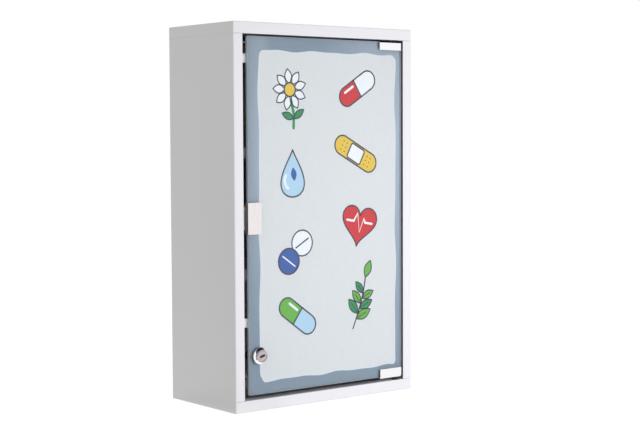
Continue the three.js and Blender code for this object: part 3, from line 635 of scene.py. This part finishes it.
SCREW_SHANK = 2.0 * MM
SCREW_HEAD_HEIGHT = 2.2 * MM
SCREW_SOCKET = 1.25 * MM
SCREW_SOCKET_DEPTH = 1.3 * MM
SCREW_SOCKET_MOUTH = 0.12 * MM
RIVET_SHANK = 1.6 * MM
RIVET_HEAD_HEIGHT = 1.2 * MM
RIVET_DIMPLE = 1.1 * MM
RIVET_DIMPLE_DEPTH = 0.5 * MM
RIVET_DIMPLE_FOOT = 0.45 * MM
RIVET_DIMPLE_MOUTH = 0.05 * MM
CHAMFER = 0.4 * MM

# Shares of the socket, of the head's radius and height, and of the dimple
SCREW_SOCKET_FLARE = 1.12
SCREW_CROWN = 0.72
SCREW_SHOULDER = 0.8
RIVET_DIMPLE_FLARE = 1.1
RIVET_CROWN = 1.3


def screw_rows(reach, radius):
    """Round head with a hexagon socket."""
    return [
        (0, SCREW_SOCKET_DEPTH),
        (SCREW_SOCKET, SCREW_SOCKET_DEPTH, HEX),
        (SCREW_SOCKET, SCREW_SOCKET_MOUTH, HEX),
        (SCREW_SOCKET * SCREW_SOCKET_FLARE, 0, HEX),
        *quarter(radius * SCREW_CROWN, 0, radius, SCREW_HEAD_HEIGHT * SCREW_SHOULDER),
        (radius, SCREW_HEAD_HEIGHT),
        (SCREW_SHANK, SCREW_HEAD_HEIGHT),
        (SCREW_SHANK, reach - CHAMFER),
        (SCREW_SHANK - CHAMFER, reach),
        (0, reach),
    ]


def rivet_rows(reach, radius):
    """Blind rivet: domed head with the dimple of its drawn mandrel."""
    return [
        (0, RIVET_DIMPLE_DEPTH),
        (RIVET_DIMPLE, RIVET_DIMPLE_FOOT),
        (RIVET_DIMPLE * RIVET_DIMPLE_FLARE, RIVET_DIMPLE_MOUTH),
        *quarter(RIVET_DIMPLE * RIVET_CROWN, 0, radius, RIVET_HEAD_HEIGHT),
        (RIVET_SHANK, RIVET_HEAD_HEIGHT),
        (RIVET_SHANK, reach),
        (0, reach),
    ]


def set_screw_rows(reach, radius):
    """No head, and a hexagon socket in the end."""
    return [
        (0, SCREW_SOCKET_DEPTH),
        (radius / 2, SCREW_SOCKET_DEPTH, HEX),
        (radius / 2, 0, HEX),
        (radius - CHAMFER, 0),
        (radius, CHAMFER),
        (radius, reach - CHAMFER),
        (radius - CHAMFER, reach),
        (0, reach),
    ]


def pin_rows(reach, radius):
    """Plain, with both ends chamfered."""
    return [
        (0, 0),
        (radius - CHAMFER, 0),
        (radius, CHAMFER),
        (radius, reach - CHAMFER),
        (radius - CHAMFER, reach),
        (0, reach),
    ]


# Operators

class CABINET_OT_case(bpy.types.Operator):
    """Folded and powder-coated panels"""

    bl_idname = "cabinet.case"
    bl_label = "Case"

    def execute(self, context):
        for side in ("left_side", "right_side", "top", "bottom", "back"):
            panel = softened(f"{side}_panel", sizes().paint_edge)
            if side.endswith("_side"):
                self.close_seams(panel.data.vertices)
        return {"FINISHED"}

    def close_seams(self, verts):
        """Draws out the ends of a side's outer wall, where the powder coat all but fills the seams."""
        wall = max(abs(vert.co.x) for vert in verts) - sizes().seam_wall
        ends = [vert for vert in verts if abs(vert.co.x) > wall]
        low = min(vert.co.z for vert in ends) + WELD
        high = max(vert.co.z for vert in ends) - WELD
        for vert in ends:
            if vert.co.z < low:
                vert.co.z -= sizes().seam_fill
            if vert.co.z > high:
                vert.co.z += sizes().seam_fill


class CABINET_OT_shelves(bpy.types.Operator):
    """Shelves and the angles under their ends"""

    bl_idname = "cabinet.shelves"
    bl_label = "Shelves"

    def execute(self, context):
        for level in ("lower", "upper"):
            softened(f"{level}_shelf", sizes().paint_edge)
            for hand in ("left", "right"):
                softened(f"{level}_shelf_bracket_{hand}", sizes().paint_edge)
        return {"FINISHED"}


class CABINET_OT_fasteners(bpy.types.Operator):
    """Screws of the panels and of the catch, and the rivets of the back panel"""

    bl_idname = "cabinet.fasteners"
    bl_label = "Fasteners"

    def execute(self, context):
        for end, way in (("top", (0, 0, 1)), ("bottom", (0, 0, -1))):
            for hand in ("left", "right"):
                for place in ("front", "rear"):
                    turned_piece(f"{end}_{hand}_{place}_screw", way, screw_rows, sides=HEX_SIDES)
        for hand in ("left", "right"):
            for level in ("lower", "middle", "upper"):
                turned_piece(f"back_rivet_{hand}_{level}", (0, 1, 0), rivet_rows)
        for level in ("lower", "upper"):
            turned_piece(f"catch_screw_{level}", (-1, 0, 0), screw_rows, sides=HEX_SIDES)
        return {"FINISHED"}


class CABINET_OT_glass(bpy.types.Operator):
    """Pane of the door with ground edges"""

    bl_idname = "cabinet.glass"
    bl_label = "Door glass"

    def execute(self, context):
        pane = softened("door_glass", sizes().glass_arris)
        second_finish(pane, "glass_edge", lambda middle, normal: abs(normal.y) < FACING)
        pane.modifiers["edges"].material = SECOND
        return {"FINISHED"}


class CABINET_OT_hinges(bpy.types.Operator):
    """Clamps, liners, pins, set screws and bushes of the pivot hinges"""

    bl_idname = "cabinet.hinges"
    bl_label = "Hinges"

    def execute(self, context):
        for level, way in (("upper", (0, 0, 1)), ("lower", (0, 0, -1))):
            softened(f"{level}_hinge_clamp", sizes().clamp_edge, sharp=CRISP)
            softened(f"{level}_hinge_bush", sizes().fine_edge)
            refinished(f"{level}_hinge_liner")
            turned_piece(f"{level}_hinge_pin", way, pin_rows)
            for hand in ("left", "right"):
                turned_piece(f"{level}_hinge_set_screw_{hand}", (0, -1, 0), set_screw_rows, sides=HEX_SIDES)
        return {"FINISHED"}


class CABINET_OT_strike(bpy.types.Operator):
    """Pull plate that the catch holds"""

    bl_idname = "cabinet.strike"
    bl_label = "Pull and strike plate"

    def execute(self, context):
        plate = softened("strike_plate", sizes().plate_edge)
        # Painted shade: the plate's left side gets the darker nickel
        second_finish(plate, "dull_nickel", lambda middle, normal: normal.x < -FACING)
        refinished("strike_liner")
        return {"FINISHED"}


class CABINET_OT_catch(bpy.types.Operator):
    """Magnetic catch"""

    bl_idname = "cabinet.catch"
    bl_label = "Magnetic catch"

    def execute(self, context):
        softened("catch_housing", sizes().metal_edge)
        softened("catch_magnet", sizes().fine_edge)
        for hand in ("left", "right"):
            softened(f"catch_pole_{hand}", sizes().fine_edge)
        return {"FINISHED"}


class CABINET_OT_bumpers(bpy.types.Operator):
    """Bumpers that the door closes against"""

    bl_idname = "cabinet.bumpers"
    bl_label = "Bumpers"

    def execute(self, context):
        for level in ("lower", "upper"):
            softened(f"{level}_door_bumper", sizes().plastic_edge, steps=4)
        return {"FINISHED"}


# Lock housing, with heights from its front

LOCK_SIDES = 72
LOCK_BORE = 6.55 * MM
LOCK_BORE_CHAMFER = 0.3 * MM
LOCK_BARREL = 9.0 * MM
LOCK_COLLAR = 8.3 * MM
LOCK_COLLAR_ROUND = 0.5 * MM
LOCK_HEAD_HEIGHT = 5.5 * MM
LOCK_FLANGE = 2.1 * MM
LOCK_FLANGE_CHAMFER = 0.2 * MM
LOCK_RIM = 0.6 * MM
LOCK_RIM_WIDTH = 1.0 * MM
LOCK_RIM_ROUND = 0.5 * MM
LOCK_END = 0.2 * MM
LOCK_WEAR = 0.2 * MM
LOCK_THREAD_START = 11.6 * MM
LOCK_THREAD_DEPTH = 0.45 * MM
LOCK_THREAD_PITCH = 1.0 * MM


def lock_head_rows(reach, radius):
    """Flange with a collar, plain neck through the glass and a threaded barrel for the nut."""
    flange = LOCK_HEAD_HEIGHT - LOCK_FLANGE
    rim = LOCK_HEAD_HEIGHT - LOCK_RIM
    rows = [
        (LOCK_BORE, LOCK_BORE_CHAMFER),
        (LOCK_BORE + LOCK_BORE_CHAMFER, 0),
        *quarter(LOCK_COLLAR - LOCK_COLLAR_ROUND, 0, LOCK_COLLAR, LOCK_COLLAR_ROUND),
        (LOCK_COLLAR, flange),
        *quarter(radius - LOCK_RIM_WIDTH, rim - LOCK_RIM_ROUND, radius, rim),
        (radius, LOCK_HEAD_HEIGHT - LOCK_FLANGE_CHAMFER),
        (radius - LOCK_FLANGE_CHAMFER, LOCK_HEAD_HEIGHT),
        (LOCK_BARREL, LOCK_HEAD_HEIGHT),
    ]
    end = reach - LOCK_END
    turns = int((end - LOCK_THREAD_START) / LOCK_THREAD_PITCH)
    for i in range(turns):
        here = LOCK_THREAD_START + i * LOCK_THREAD_PITCH
        rows.append((LOCK_BARREL, here))
        rows.append((LOCK_BARREL - LOCK_THREAD_DEPTH, here + LOCK_THREAD_PITCH / 2))
    rows.append((LOCK_BARREL, LOCK_THREAD_START + turns * LOCK_THREAD_PITCH))
    rows.append((LOCK_BARREL, end))
    rows.append((LOCK_BARREL - LOCK_END, reach))
    rows.append((LOCK_BORE, reach))
    return rows


class CABINET_OT_lock(bpy.types.Operator):
    """Cam lock"""

    bl_idname = "cabinet.lock"
    bl_label = "Lock"

    def execute(self, context):
        housing = turned_piece("lock_housing", (0, 1, 0), lock_head_rows, sides=LOCK_SIDES, tube=True)
        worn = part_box("lock_housing")[0].y + LOCK_WEAR
        second_finish(housing, "worn_nickel", lambda middle, normal: middle.y < worn)
        plug = softened("lock_plug", sizes().fine_edge)
        second_finish(plug, "worn_nickel", lambda middle, normal: normal.y < -FACING)
        softened("lock_nut", sizes().metal_edge)
        softened("lock_cam", sizes().fine_edge)
        turned_piece("lock_cam_screw", (0, -1, 0), screw_rows, sides=HEX_SIDES)
        refinished("lock_gasket")
        for number in (1, 2, 3, 4):
            refinished(f"lock_wafer_{number}")
        return {"FINISHED"}


# Print, drawn on the door in millimetres: x to the right and z up

FILM_LOW, FILM_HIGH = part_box("printed_film")
GLASS_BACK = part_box("door_glass")[1].y
FILM_CORNER = 2.0
INK_STEP = 0.08
LAYERS = {"ground": 1, "fill": 2, "detail": 3, "cover": 4, "line": 5}

# Points along a side and round a corner of the border
SIDE_STEPS = 48
CORNER_STEPS = 10

# Waves of the border's inner edge: share of the swing, number round the door, and phase
BORDER_WAVES = (0.6, 13, 0.7), (0.4, 22, 2.1)
BORDER_SIDES = "latch_side", "hinge_side", "bottom", "top"

# Keeps an offset from drawing sharp corners out too far
MITRE = 0.35

# Powers and swelling that form a leaf and a drop
LEAF_TAPER = 0.9
DROP_TAPER = 1.5
DROP_SWELL = 1.3

# The plain heart curve: half of its width, and the waves that add up to its height
HEART_HALF = 16
HEART_WAVES = 13, -5, -2, -1

# Shares of the line's width
LEAF_LINE = 0.85
VEIN_LINE = 0.6

# Bare glass round the fittings, depth of the cuts through the ink, and sides of the round one
FITTING_GAP = 0.5 * MM
FITTING_CUT = 5 * MM
LOCK_CUT = 30 * MM
LOCK_CUT_SIDES = 64


def arc(x, z, radius, start, end, steps=16):
    """Points on a circle, from one angle to another in degrees."""
    points = []
    for i in range(steps + 1):
        turn = math.radians(start + (end - start) * i / steps)
        points.append((x + radius * math.cos(turn), z + radius * math.sin(turn)))
    return points


def disc(x, z, radius):
    return arc(x, z, radius, 0, 360, steps=32)[:-1]


def lozenge(long, radius):
    """A bar with round ends, lying flat."""
    reach = long / 2 - radius
    return arc(reach, 0, radius, -90, 90) + arc(-reach, 0, radius, 90, 270)


def rounded(wide, high, radius):
    u = wide / 2 - radius
    v = high / 2 - radius
    points = []
    for x, z, start in ((u, v, 0), (-u, v, 90), (-u, -v, 180), (u, -v, 270)):
        points += arc(x, z, radius, start, start + 90, steps=6)
    return points


def leaf_shape(long, wide, steps=14):
    """A leaf that starts at the origin and points up."""
    side = []
    for i in range(1, steps):
        swell = math.sin(math.pi * i / steps) ** LEAF_TAPER
        side.append((wide / 2 * swell, long * i / steps))
    return [(0, 0), *side, (0, long), *[(-x, z) for x, z in reversed(side)]]


def drop_shape(high, wide, steps=36):
    """A drop with its point at the top."""
    points = []
    for i in range(steps):
        turn = 2 * math.pi * i / steps
        swell = DROP_SWELL * math.sin(turn) * math.sin(turn / 2) ** DROP_TAPER
        points.append((wide / 2 * swell, high / 2 * math.cos(turn)))
    return points


def heart_shape(wide, steps=48):
    unit = wide / (2 * HEART_HALF)
    points = []
    for i in range(steps):
        turn = 2 * math.pi * i / steps
        x = HEART_HALF * math.sin(turn) ** 3
        z = sum(wave * math.cos(count * turn) for count, wave in enumerate(HEART_WAVES, start=1))
        points.append((x * unit, z * unit))
    return points


def placing(x, z, turn=0.0, size=1.0):
    """Moves the points of a motif to their place on the door."""
    cosine = size * math.cos(math.radians(turn))
    sine = size * math.sin(math.radians(turn))

    def place(points):
        return [(x + u * cosine - v * sine, z + u * sine + v * cosine) for u, v in points]

    return place


def offset(points, distance, closed=True):
    """The points moved sideways by a distance, to the left of the way that they run."""
    moved = []
    count = len(points)
    for i, here in enumerate(points):
        before = points[i - 1] if closed or i > 0 else here
        after = points[(i + 1) % count] if closed or i < count - 1 else here
        ways = []
        for first, second in ((before, here), (here, after)):
            du, dv = second[0] - first[0], second[1] - first[1]
            span = math.hypot(du, dv)
            if span > 0:
                ways.append((-dv / span, du / span))
        u = sum(way[0] for way in ways) / len(ways)
        v = sum(way[1] for way in ways) / len(ways)
        spread = max(u * u + v * v, MITRE)
        moved.append((here[0] + distance * u / spread, here[1] + distance * v / spread))
    return moved


class PrintSheet:
    """Flat shapes of ink, gathered by colour."""

    def __init__(self):
        self.shapes = {}
        self.line_width = sizes().line_width / MM

    def fill(self, tone, outer, inner=None, layer="fill"):
        self.shapes.setdefault(tone, []).append((LAYERS[layer], outer, inner))

    def outline(self, points, tone="outline", layer="line", share=1.0):
        half = self.line_width * share / 2
        self.fill(tone, offset(points, half), offset(points, -half), layer)

    def shape(self, tone, points, share=1.0):
        """A filled shape and its outline."""
        self.fill(tone, points)
        self.outline(points, share=share)

    def line(self, points, tone="outline", layer="line", share=1.0):
        """An open line with round ends."""
        half = self.line_width * share / 2
        forth = offset(points, -half, closed=False)
        back = offset(points, half, closed=False)[::-1]
        ends = []
        for tip, other in ((points[-1], points[-2]), (points[0], points[1])):
            heading = math.degrees(math.atan2(tip[1] - other[1], tip[0] - other[0]))
            ends.append(arc(*tip, half, heading - 90, heading + 90, steps=6)[1:-1])
        self.fill(tone, forth + ends[0] + back + ends[1], layer=layer)

    def mesh(self, tone):
        """All shapes of one colour, as thin plates from the film into the glass."""
        work = bmesh.new()
        rear = FILM_LOW.y
        for layer, outer, inner in self.shapes[tone]:
            front = GLASS_BACK - layer * INK_STEP * MM
            loops = [outer] if inner is None else [outer, inner]
            rings = []
            for points in loops:
                ring = []
                for y in (front, rear):
                    ring.append([work.verts.new((u * MM, y, v * MM)) for u, v in points])
                bridge(work, *ring)
                rings.append(ring)
            if inner is None:
                work.faces.new(rings[0][0])
                work.faces.new(rings[0][1])
            else:
                bridge(work, rings[0][0], rings[1][0])
                bridge(work, rings[0][1], rings[1][1])
        return finished(work, f"print_{tone}")


def bridge(work, first, second):
    """Quads between two loops of as many points."""
    count = len(first)
    for i in range(count):
        after = (i + 1) % count
        work.faces.new((first[i], first[after], second[after], second[i]))


def between(start, end, steps):
    """The points that part a line into steps, without its ends."""
    points = []
    for i in range(1, steps):
        share = i / steps
        points.append((start[0] + (end[0] - start[0]) * share, start[1] + (end[1] - start[1]) * share))
    return points


def border_loop(latch_side, hinge_side, bottom, top, corner, wave=0.0):
    """A rounded rectangle inside the film's edges, whose sides wave a little."""
    left = FILM_LOW.x / MM + latch_side + corner
    right = FILM_HIGH.x / MM - hinge_side - corner
    low = FILM_LOW.z / MM + bottom + corner
    high = FILM_HIGH.z / MM - top - corner
    middles = (right, high, 0), (left, high, 90), (left, low, 180), (right, low, 270)
    corners = [arc(x, z, corner, start, start + 90, steps=CORNER_STEPS) for x, z, start in middles]
    points = []
    for here, after in zip(corners, corners[1:] + corners[:1]):
        points += here + between(here[-1], after[0], SIDE_STEPS)
    if not wave:
        return points
    waved = []
    for i, ((x, z), (out_x, out_z)) in enumerate(zip(points, offset(points, -1.0))):
        turn = 2 * math.pi * i / len(points)
        swing = wave * sum(share * math.sin(count * turn + phase) for share, count, phase in BORDER_WAVES)
        waved.append((x + (out_x - x) * swing, z + (out_z - z) * swing))
    return waved


def draw_capsule(sheet, place, first, second):
    long, radius = 68, 13
    reach = long / 2 - radius
    shine = radius * 0.48
    sheet.fill(first, place(arc(-reach, 0, radius, 90, 270) + [(0, -radius), (0, radius)]))
    sheet.fill(second, place(arc(reach, 0, radius, -90, 90) + [(0, radius), (0, -radius)]))
    sheet.line(place([(-reach, shine), (-reach / 4, shine)]), "white", "detail", share=1.8)
    sheet.outline(place(lozenge(long, radius)))
    sheet.line(place([(0, -radius), (0, radius)]))


def draw_plaster(sheet, place):
    strip = place(lozenge(78, 13))
    pad = place(rounded(25, 21, 3))
    hole = 0.9
    sheet.fill("ochre", strip)
    sheet.fill("white", pad, layer="detail")
    for x in (-26, -19.5, 19.5, 26):
        for z in (-6.2, 0, 6.2):
            sheet.fill("outline", place(disc(x, z, hole)), layer="detail")
    sheet.outline(strip)
    sheet.outline(pad)


def draw_sprig(sheet, place):
    """A bent stem with leaves on both sides by turns, smaller towards its tip."""
    stem = [(6 * math.sin(0.22 * i), -40 + 7.2 * i) for i in range(11)]
    for i, tone in enumerate(("leaf", "fern", "fern", "leaf", "leaf", "fern")):
        leaf = placing(*stem[2 + i], turn=-52 * (-1) ** i, size=1.0 - 0.05 * i)
        sheet.shape(tone, place(leaf(leaf_shape(27, 13))), LEAF_LINE)
        sheet.line(place(leaf([(0, 3), (0, 19)])), share=VEIN_LINE)
    tip = placing(*stem[-1], turn=-8)
    sheet.shape("leaf", place(tip(leaf_shape(24, 12))), LEAF_LINE)
    sheet.line(place(stem))


def draw_drop(sheet, place):
    sheet.shape("sky", place(drop_shape(62, 42)))
    sheet.fill("blue", place(placing(3, -10, turn=8)(leaf_shape(18, 9)[::-1])), layer="detail")
    sheet.line(place(arc(0, -9, 13, 150, 235, steps=10)), "white", "detail", share=2.0)


def draw_heart(sheet, place):
    pulse = [(-22, 2), (-10, 2), (-5, 13), (2, -12), (7, 7), (10, 2), (22, 2)]
    sheet.shape("red", place(heart_shape(60)))
    sheet.line(place(pulse), "white", "detail", share=1.6)


def draw_tablets(sheet, place):
    """Two scored tablets, of which the second lies over the first."""
    for x, z, tone, score, turn, below, above in (
        (10, 9, "white", "outline", 30, "fill", "detail"),
        (-12, -14, "blue", "white", -35, "cover", "line"),
    ):
        tablet = placing(x, z, turn=turn)
        face = place(tablet(disc(0, 0, 17)))
        sheet.fill(tone, face, layer=below)
        sheet.outline(face, layer=above)
        sheet.line(place(tablet([(-12, 0), (12, 0)])), score, layer=above)


def draw_flower(sheet, place):
    """Petals that start under the edge of a round eye."""
    petals = 9
    middle = 8
    eye = 9
    start = 8
    sheet.line(place([(0, -6), (2, -24), (-1, -42)]), "fern", "detail", share=2.2)
    for side in (-1, 1):
        leaf = placing(1, -30, turn=-side * 62)
        sheet.shape("fern", place(leaf(leaf_shape(20, 9))), LEAF_LINE)
    for i in range(petals):
        petal = [(u, v + start) for u, v in leaf_shape(19, 11)]
        petal = place(placing(0, middle, turn=360 * i / petals)(petal))
        sheet.fill("white", petal)
        sheet.outline(petal, layer="detail", share=LEAF_LINE)
    sheet.fill("ochre", place(disc(0, middle, eye)), layer="cover")
    sheet.outline(place(disc(0, middle, eye)))


# Motifs: place on the door with the turn in degrees, and the inks where they vary
MOTIFS = (
    (draw_flower, (-58, 407, 8)),
    (draw_capsule, (55, 418, 32), "red", "white"),
    (draw_plaster, (52, 330, -28)),
    (draw_drop, (-55, 306)),
    (draw_heart, (58, 236, -10)),
    (draw_tablets, (-50, 205)),
    (draw_sprig, (56, 132, -14)),
    (draw_capsule, (-48, 118, -36), "leaf", "sky"),
)


class CABINET_OT_print(bpy.types.Operator):
    """Frosted film with its border and motifs, seen through the glass"""

    bl_idname = "cabinet.print"
    bl_label = "Print"

    def execute(self, context):
        refinished("printed_film")
        sheet = PrintSheet()
        insets = [getattr(sizes(), f"border_{side}") / MM for side in BORDER_SIDES]
        outer = border_loop(0.0, 0.0, 0.0, 0.0, FILM_CORNER)
        edge = border_loop(*insets, sizes().border_corner / MM, sizes().border_wave / MM)
        inside = offset(edge, sizes().rim_width / MM)
        sheet.fill("border", outer, edge, layer="ground")
        sheet.fill("rim", edge, inside, layer="ground")
        sheet.fill("film", inside, layer="ground")
        for draw, where, *inks in MOTIFS:
            draw(sheet, placing(*where), *inks)
        for tone in sheet.shapes:
            piece = new_piece(f"print_{tone}", sheet.mesh(tone), ink_material(tone), "door")
            if tone in ("border", "rim"):
                self.clear_fittings(context, piece)
        return {"FINISHED"}

    def clear_fittings(self, context, piece):
        """Cuts the ink away where the lock, the clamps and the pull plate grip the glass."""
        work = bmesh.new()
        for node in ("upper_hinge_liner", "lower_hinge_liner", "strike_liner"):
            low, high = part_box(node)
            margin = Vector((FITTING_GAP, FITTING_CUT, FITTING_GAP))
            size = high - low + 2 * margin
            place = Matrix.Translation((low + high) / 2) @ Matrix.Diagonal((*size, 1.0))
            bmesh.ops.create_cube(work, size=1.0, matrix=place)
        low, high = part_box("lock_gasket")
        place = Matrix.Translation((low + high) / 2) @ Matrix.Rotation(math.pi / 2, 4, "X")
        radius = LOCK_BARREL + FITTING_GAP
        bmesh.ops.create_cone(
            work,
            cap_ends=True,
            segments=LOCK_CUT_SIDES,
            radius1=radius,
            radius2=radius,
            depth=LOCK_CUT,
            matrix=place,
        )
        mesh = bpy.data.meshes.new("print_cutter")
        work.to_mesh(mesh)
        work.free()
        cutter = bpy.data.objects.new("print_cutter", mesh)
        context.scene.collection.objects.link(cutter)
        cut = piece.modifiers.new("fittings", "BOOLEAN")
        cut.operation = "DIFFERENCE"
        cut.solver = "EXACT"
        cut.object = cutter
        context.view_layer.update()
        made = bpy.data.meshes.new_from_object(piece.evaluated_get(context.evaluated_depsgraph_get()))
        piece.modifiers.remove(cut)
        piece.data = made
        bpy.data.objects.remove(cutter)
        shade(made)


# Stage

LAMP_SIZE = 0.5
LAMP_COLOUR = (0.9, 0.88, 1.0)
LAMP_PLACE = Vector((0.24, -0.925, 0.18))
LAMP_AIM = Vector((0.0, 0.0, 0.25))

WHITE = (1.0, 1.0, 1.0, 1.0)
FLOOR_REACH = 3.0
FLOOR_DROP = 0.2 * MM
FLOOR_COLOUR = (0.25, 0.25, 0.25, 1.0)
FLOOR_BOUNCE = 0.5
FLOOR_MIRRORED = 0.98

# Dark sheets: name, reach from the middle, place, and turn about Y
FLAG_COLOUR = (0.02, 0.02, 0.03, 1.0)
FLAGS = (
    ("ceiling", 3.5, (0.5, -1.0, 1.3), 0.0),
    ("left_flag", 0.15, (-0.36, -0.12, 0.16), math.pi / 2),
    ("right_flag", 0.8, (2.4, -0.3, 1.05), math.pi / 2),
    ("low_flag", 0.085, (-0.24, -0.03, 0.002), 0.0),
)


def camera_turn(studio):
    """Yaw, then pitch, then roll."""
    turn = Matrix.Rotation(-studio.camera_yaw, 4, "Z")
    turn = turn @ Matrix.Rotation(math.pi / 2 - studio.camera_pitch, 4, "X")
    return turn @ Matrix.Rotation(studio.camera_roll, 4, "Z")


def seen_by(finish, *kinds):
    """1 where a ray of one of these kinds arrives."""
    rays = [finish.node("ShaderNodeLightPath", {}, {}, output=f"Is {kind} Ray") for kind in kinds]
    seen = rays[0]
    for ray in rays[1:]:
        seen = finish.maths("MAXIMUM", seen, ray)
    return seen


def stage_sheet(context, name, reach, place):
    """A flat square of the studio."""
    work = bmesh.new()
    bmesh.ops.create_grid(work, x_segments=1, y_segments=1, size=reach)
    mesh = bpy.data.meshes.new(name)
    work.to_mesh(mesh)
    work.free()
    sheet = bpy.data.objects.new(name, mesh)
    sheet.location = place
    context.scene.collection.objects.link(sheet)
    return sheet


class CABINET_OT_stage(bpy.types.Operator):
    """Camera, lamp, even room light, a white floor and the dark sheets that metal and glass reflect"""

    bl_idname = "cabinet.stage"
    bl_label = "Stage"

    def execute(self, context):
        studio = context.scene.cabinet_studio
        context.scene.view_settings.view_transform = "Standard"
        self.add_camera(context, studio)
        self.add_lamp(context, studio)
        self.add_room(context, studio)
        self.add_floor(context, studio)
        for flag in FLAGS:
            self.add_flag(context, *flag)
        return {"FINISHED"}

    def add_camera(self, context, studio):
        camera = bpy.data.objects.new("camera", bpy.data.cameras.new("camera"))
        camera.data.sensor_width = SENSOR_WIDTH
        camera.data.lens = studio.focal_pixels * SENSOR_WIDTH / PHOTO_WIDTH
        camera.matrix_world = Matrix.Translation(studio.camera_place) @ camera_turn(studio)
        context.scene.collection.objects.link(camera)
        context.scene.camera = camera

    def add_lamp(self, context, studio):
        lamp = bpy.data.objects.new("lamp", bpy.data.lights.new("lamp", "AREA"))
        lamp.data.shape = "DISK"
        lamp.data.size = LAMP_SIZE
        lamp.data.energy = studio.lamp_power
        lamp.data.color = LAMP_COLOUR
        lamp.matrix_world = along(LAMP_PLACE, LAMP_PLACE - LAMP_AIM)
        lamp.visible_camera = False
        lamp.visible_glossy = False
        context.scene.collection.objects.link(lamp)

    def add_room(self, context, studio):
        """Even light from all round, which shows as white."""
        world = bpy.data.worlds.new("room")
        context.scene.world = world
        finish = Finish(world)
        even = finish.node("ShaderNodeBackground", {}, {"Strength": studio.room_light})
        white = finish.node("ShaderNodeBackground", {}, {"Color": WHITE, "Strength": 1.0})
        directly = seen_by(finish, "Camera", "Glossy", "Transmission")
        shown = finish.node("ShaderNodeMixShader", {}, {0: directly, 1: even, 2: white})
        finish.node("ShaderNodeOutputWorld", {}, {"Surface": shown})

    def add_floor(self, context, studio):
        """White to the camera and through glass, duller as bounced light, and even in reflections."""
        floor = stage_sheet(context, "floor", FLOOR_REACH, (0.0, 0.0, -FLOOR_DROP))
        finish = Finish(bpy.data.materials.new("floor"))
        matte = finish.node("ShaderNodeBsdfDiffuse", {}, {"Color": FLOOR_COLOUR})
        lift = finish.node("ShaderNodeEmission", {}, {"Strength": studio.floor_lift})
        bright = finish.node("ShaderNodeAddShader", {}, {0: matte, 1: lift})
        lifted = seen_by(finish, "Camera", "Transmission") + FLOOR_BOUNCE * seen_by(finish, "Diffuse")
        shown = finish.node("ShaderNodeMixShader", {}, {0: lifted, 1: matte, 2: bright})
        even = finish.node("ShaderNodeEmission", {}, {"Strength": FLOOR_MIRRORED})
        shown = finish.node("ShaderNodeMixShader", {}, {0: seen_by(finish, "Glossy"), 1: shown, 2: even})
        floor.data.materials.append(finish.surface(shown))

    def add_flag(self, context, name, reach, place, turn):
        """A dark sheet that only reflections show."""
        flag = stage_sheet(context, name, reach, place)
        flag.rotation_euler.y = turn
        flag.visible_camera = False
        flag.visible_diffuse = False
        flag.visible_shadow = False
        flag.visible_transmission = False
        finish = Finish(bpy.data.materials.new(name))
        dark = finish.node("ShaderNodeBsdfDiffuse", {}, {"Color": FLAG_COLOUR})
        flag.data.materials.append(finish.surface(dark))


class CABINET_PT_parts(bpy.types.Panel):
    """Lists the pieces and their settings"""

    bl_idname = "CABINET_PT_parts"
    bl_label = "Medicine cabinet"
    bl_space_type = "VIEW_3D"
    bl_region_type = "UI"
    bl_category = "Cabinet"

    def draw(self, context):
        for operator in OPERATORS:
            self.layout.operator(operator.bl_idname)
        for name in SETTINGS:
            group = getattr(context.scene, name)
            for setting in group.bl_rna.properties:
                if setting.identifier not in ("rna_type", "name"):
                    self.layout.prop(group, setting.identifier)


SETTINGS = {
    "cabinet_finishes": CabinetFinishes,
    "cabinet_sizes": CabinetSizes,
    "cabinet_studio": CabinetStudio,
}

OPERATORS = (
    CABINET_OT_stage,
    CABINET_OT_case,
    CABINET_OT_shelves,
    CABINET_OT_fasteners,
    CABINET_OT_glass,
    CABINET_OT_print,
    CABINET_OT_hinges,
    CABINET_OT_strike,
    CABINET_OT_catch,
    CABINET_OT_bumpers,
    CABINET_OT_lock,
)


def register():
    for group in SETTINGS.values():
        bpy.utils.register_class(group)
    for name, group in SETTINGS.items():
        setattr(bpy.types.Scene, name, PointerProperty(type=group))
    for operator in OPERATORS:
        bpy.utils.register_class(operator)
    bpy.utils.register_class(CABINET_PT_parts)


def unregister():
    bpy.utils.unregister_class(CABINET_PT_parts)
    for operator in reversed(OPERATORS):
        bpy.utils.unregister_class(operator)
    for name, group in SETTINGS.items():
        delattr(bpy.types.Scene, name)
        bpy.utils.unregister_class(group)


def main():
    register()
    for operator in OPERATORS:
        getattr(bpy.ops.cabinet, operator.bl_idname.split(".")[1])()


if __name__ == "__main__":
    main()
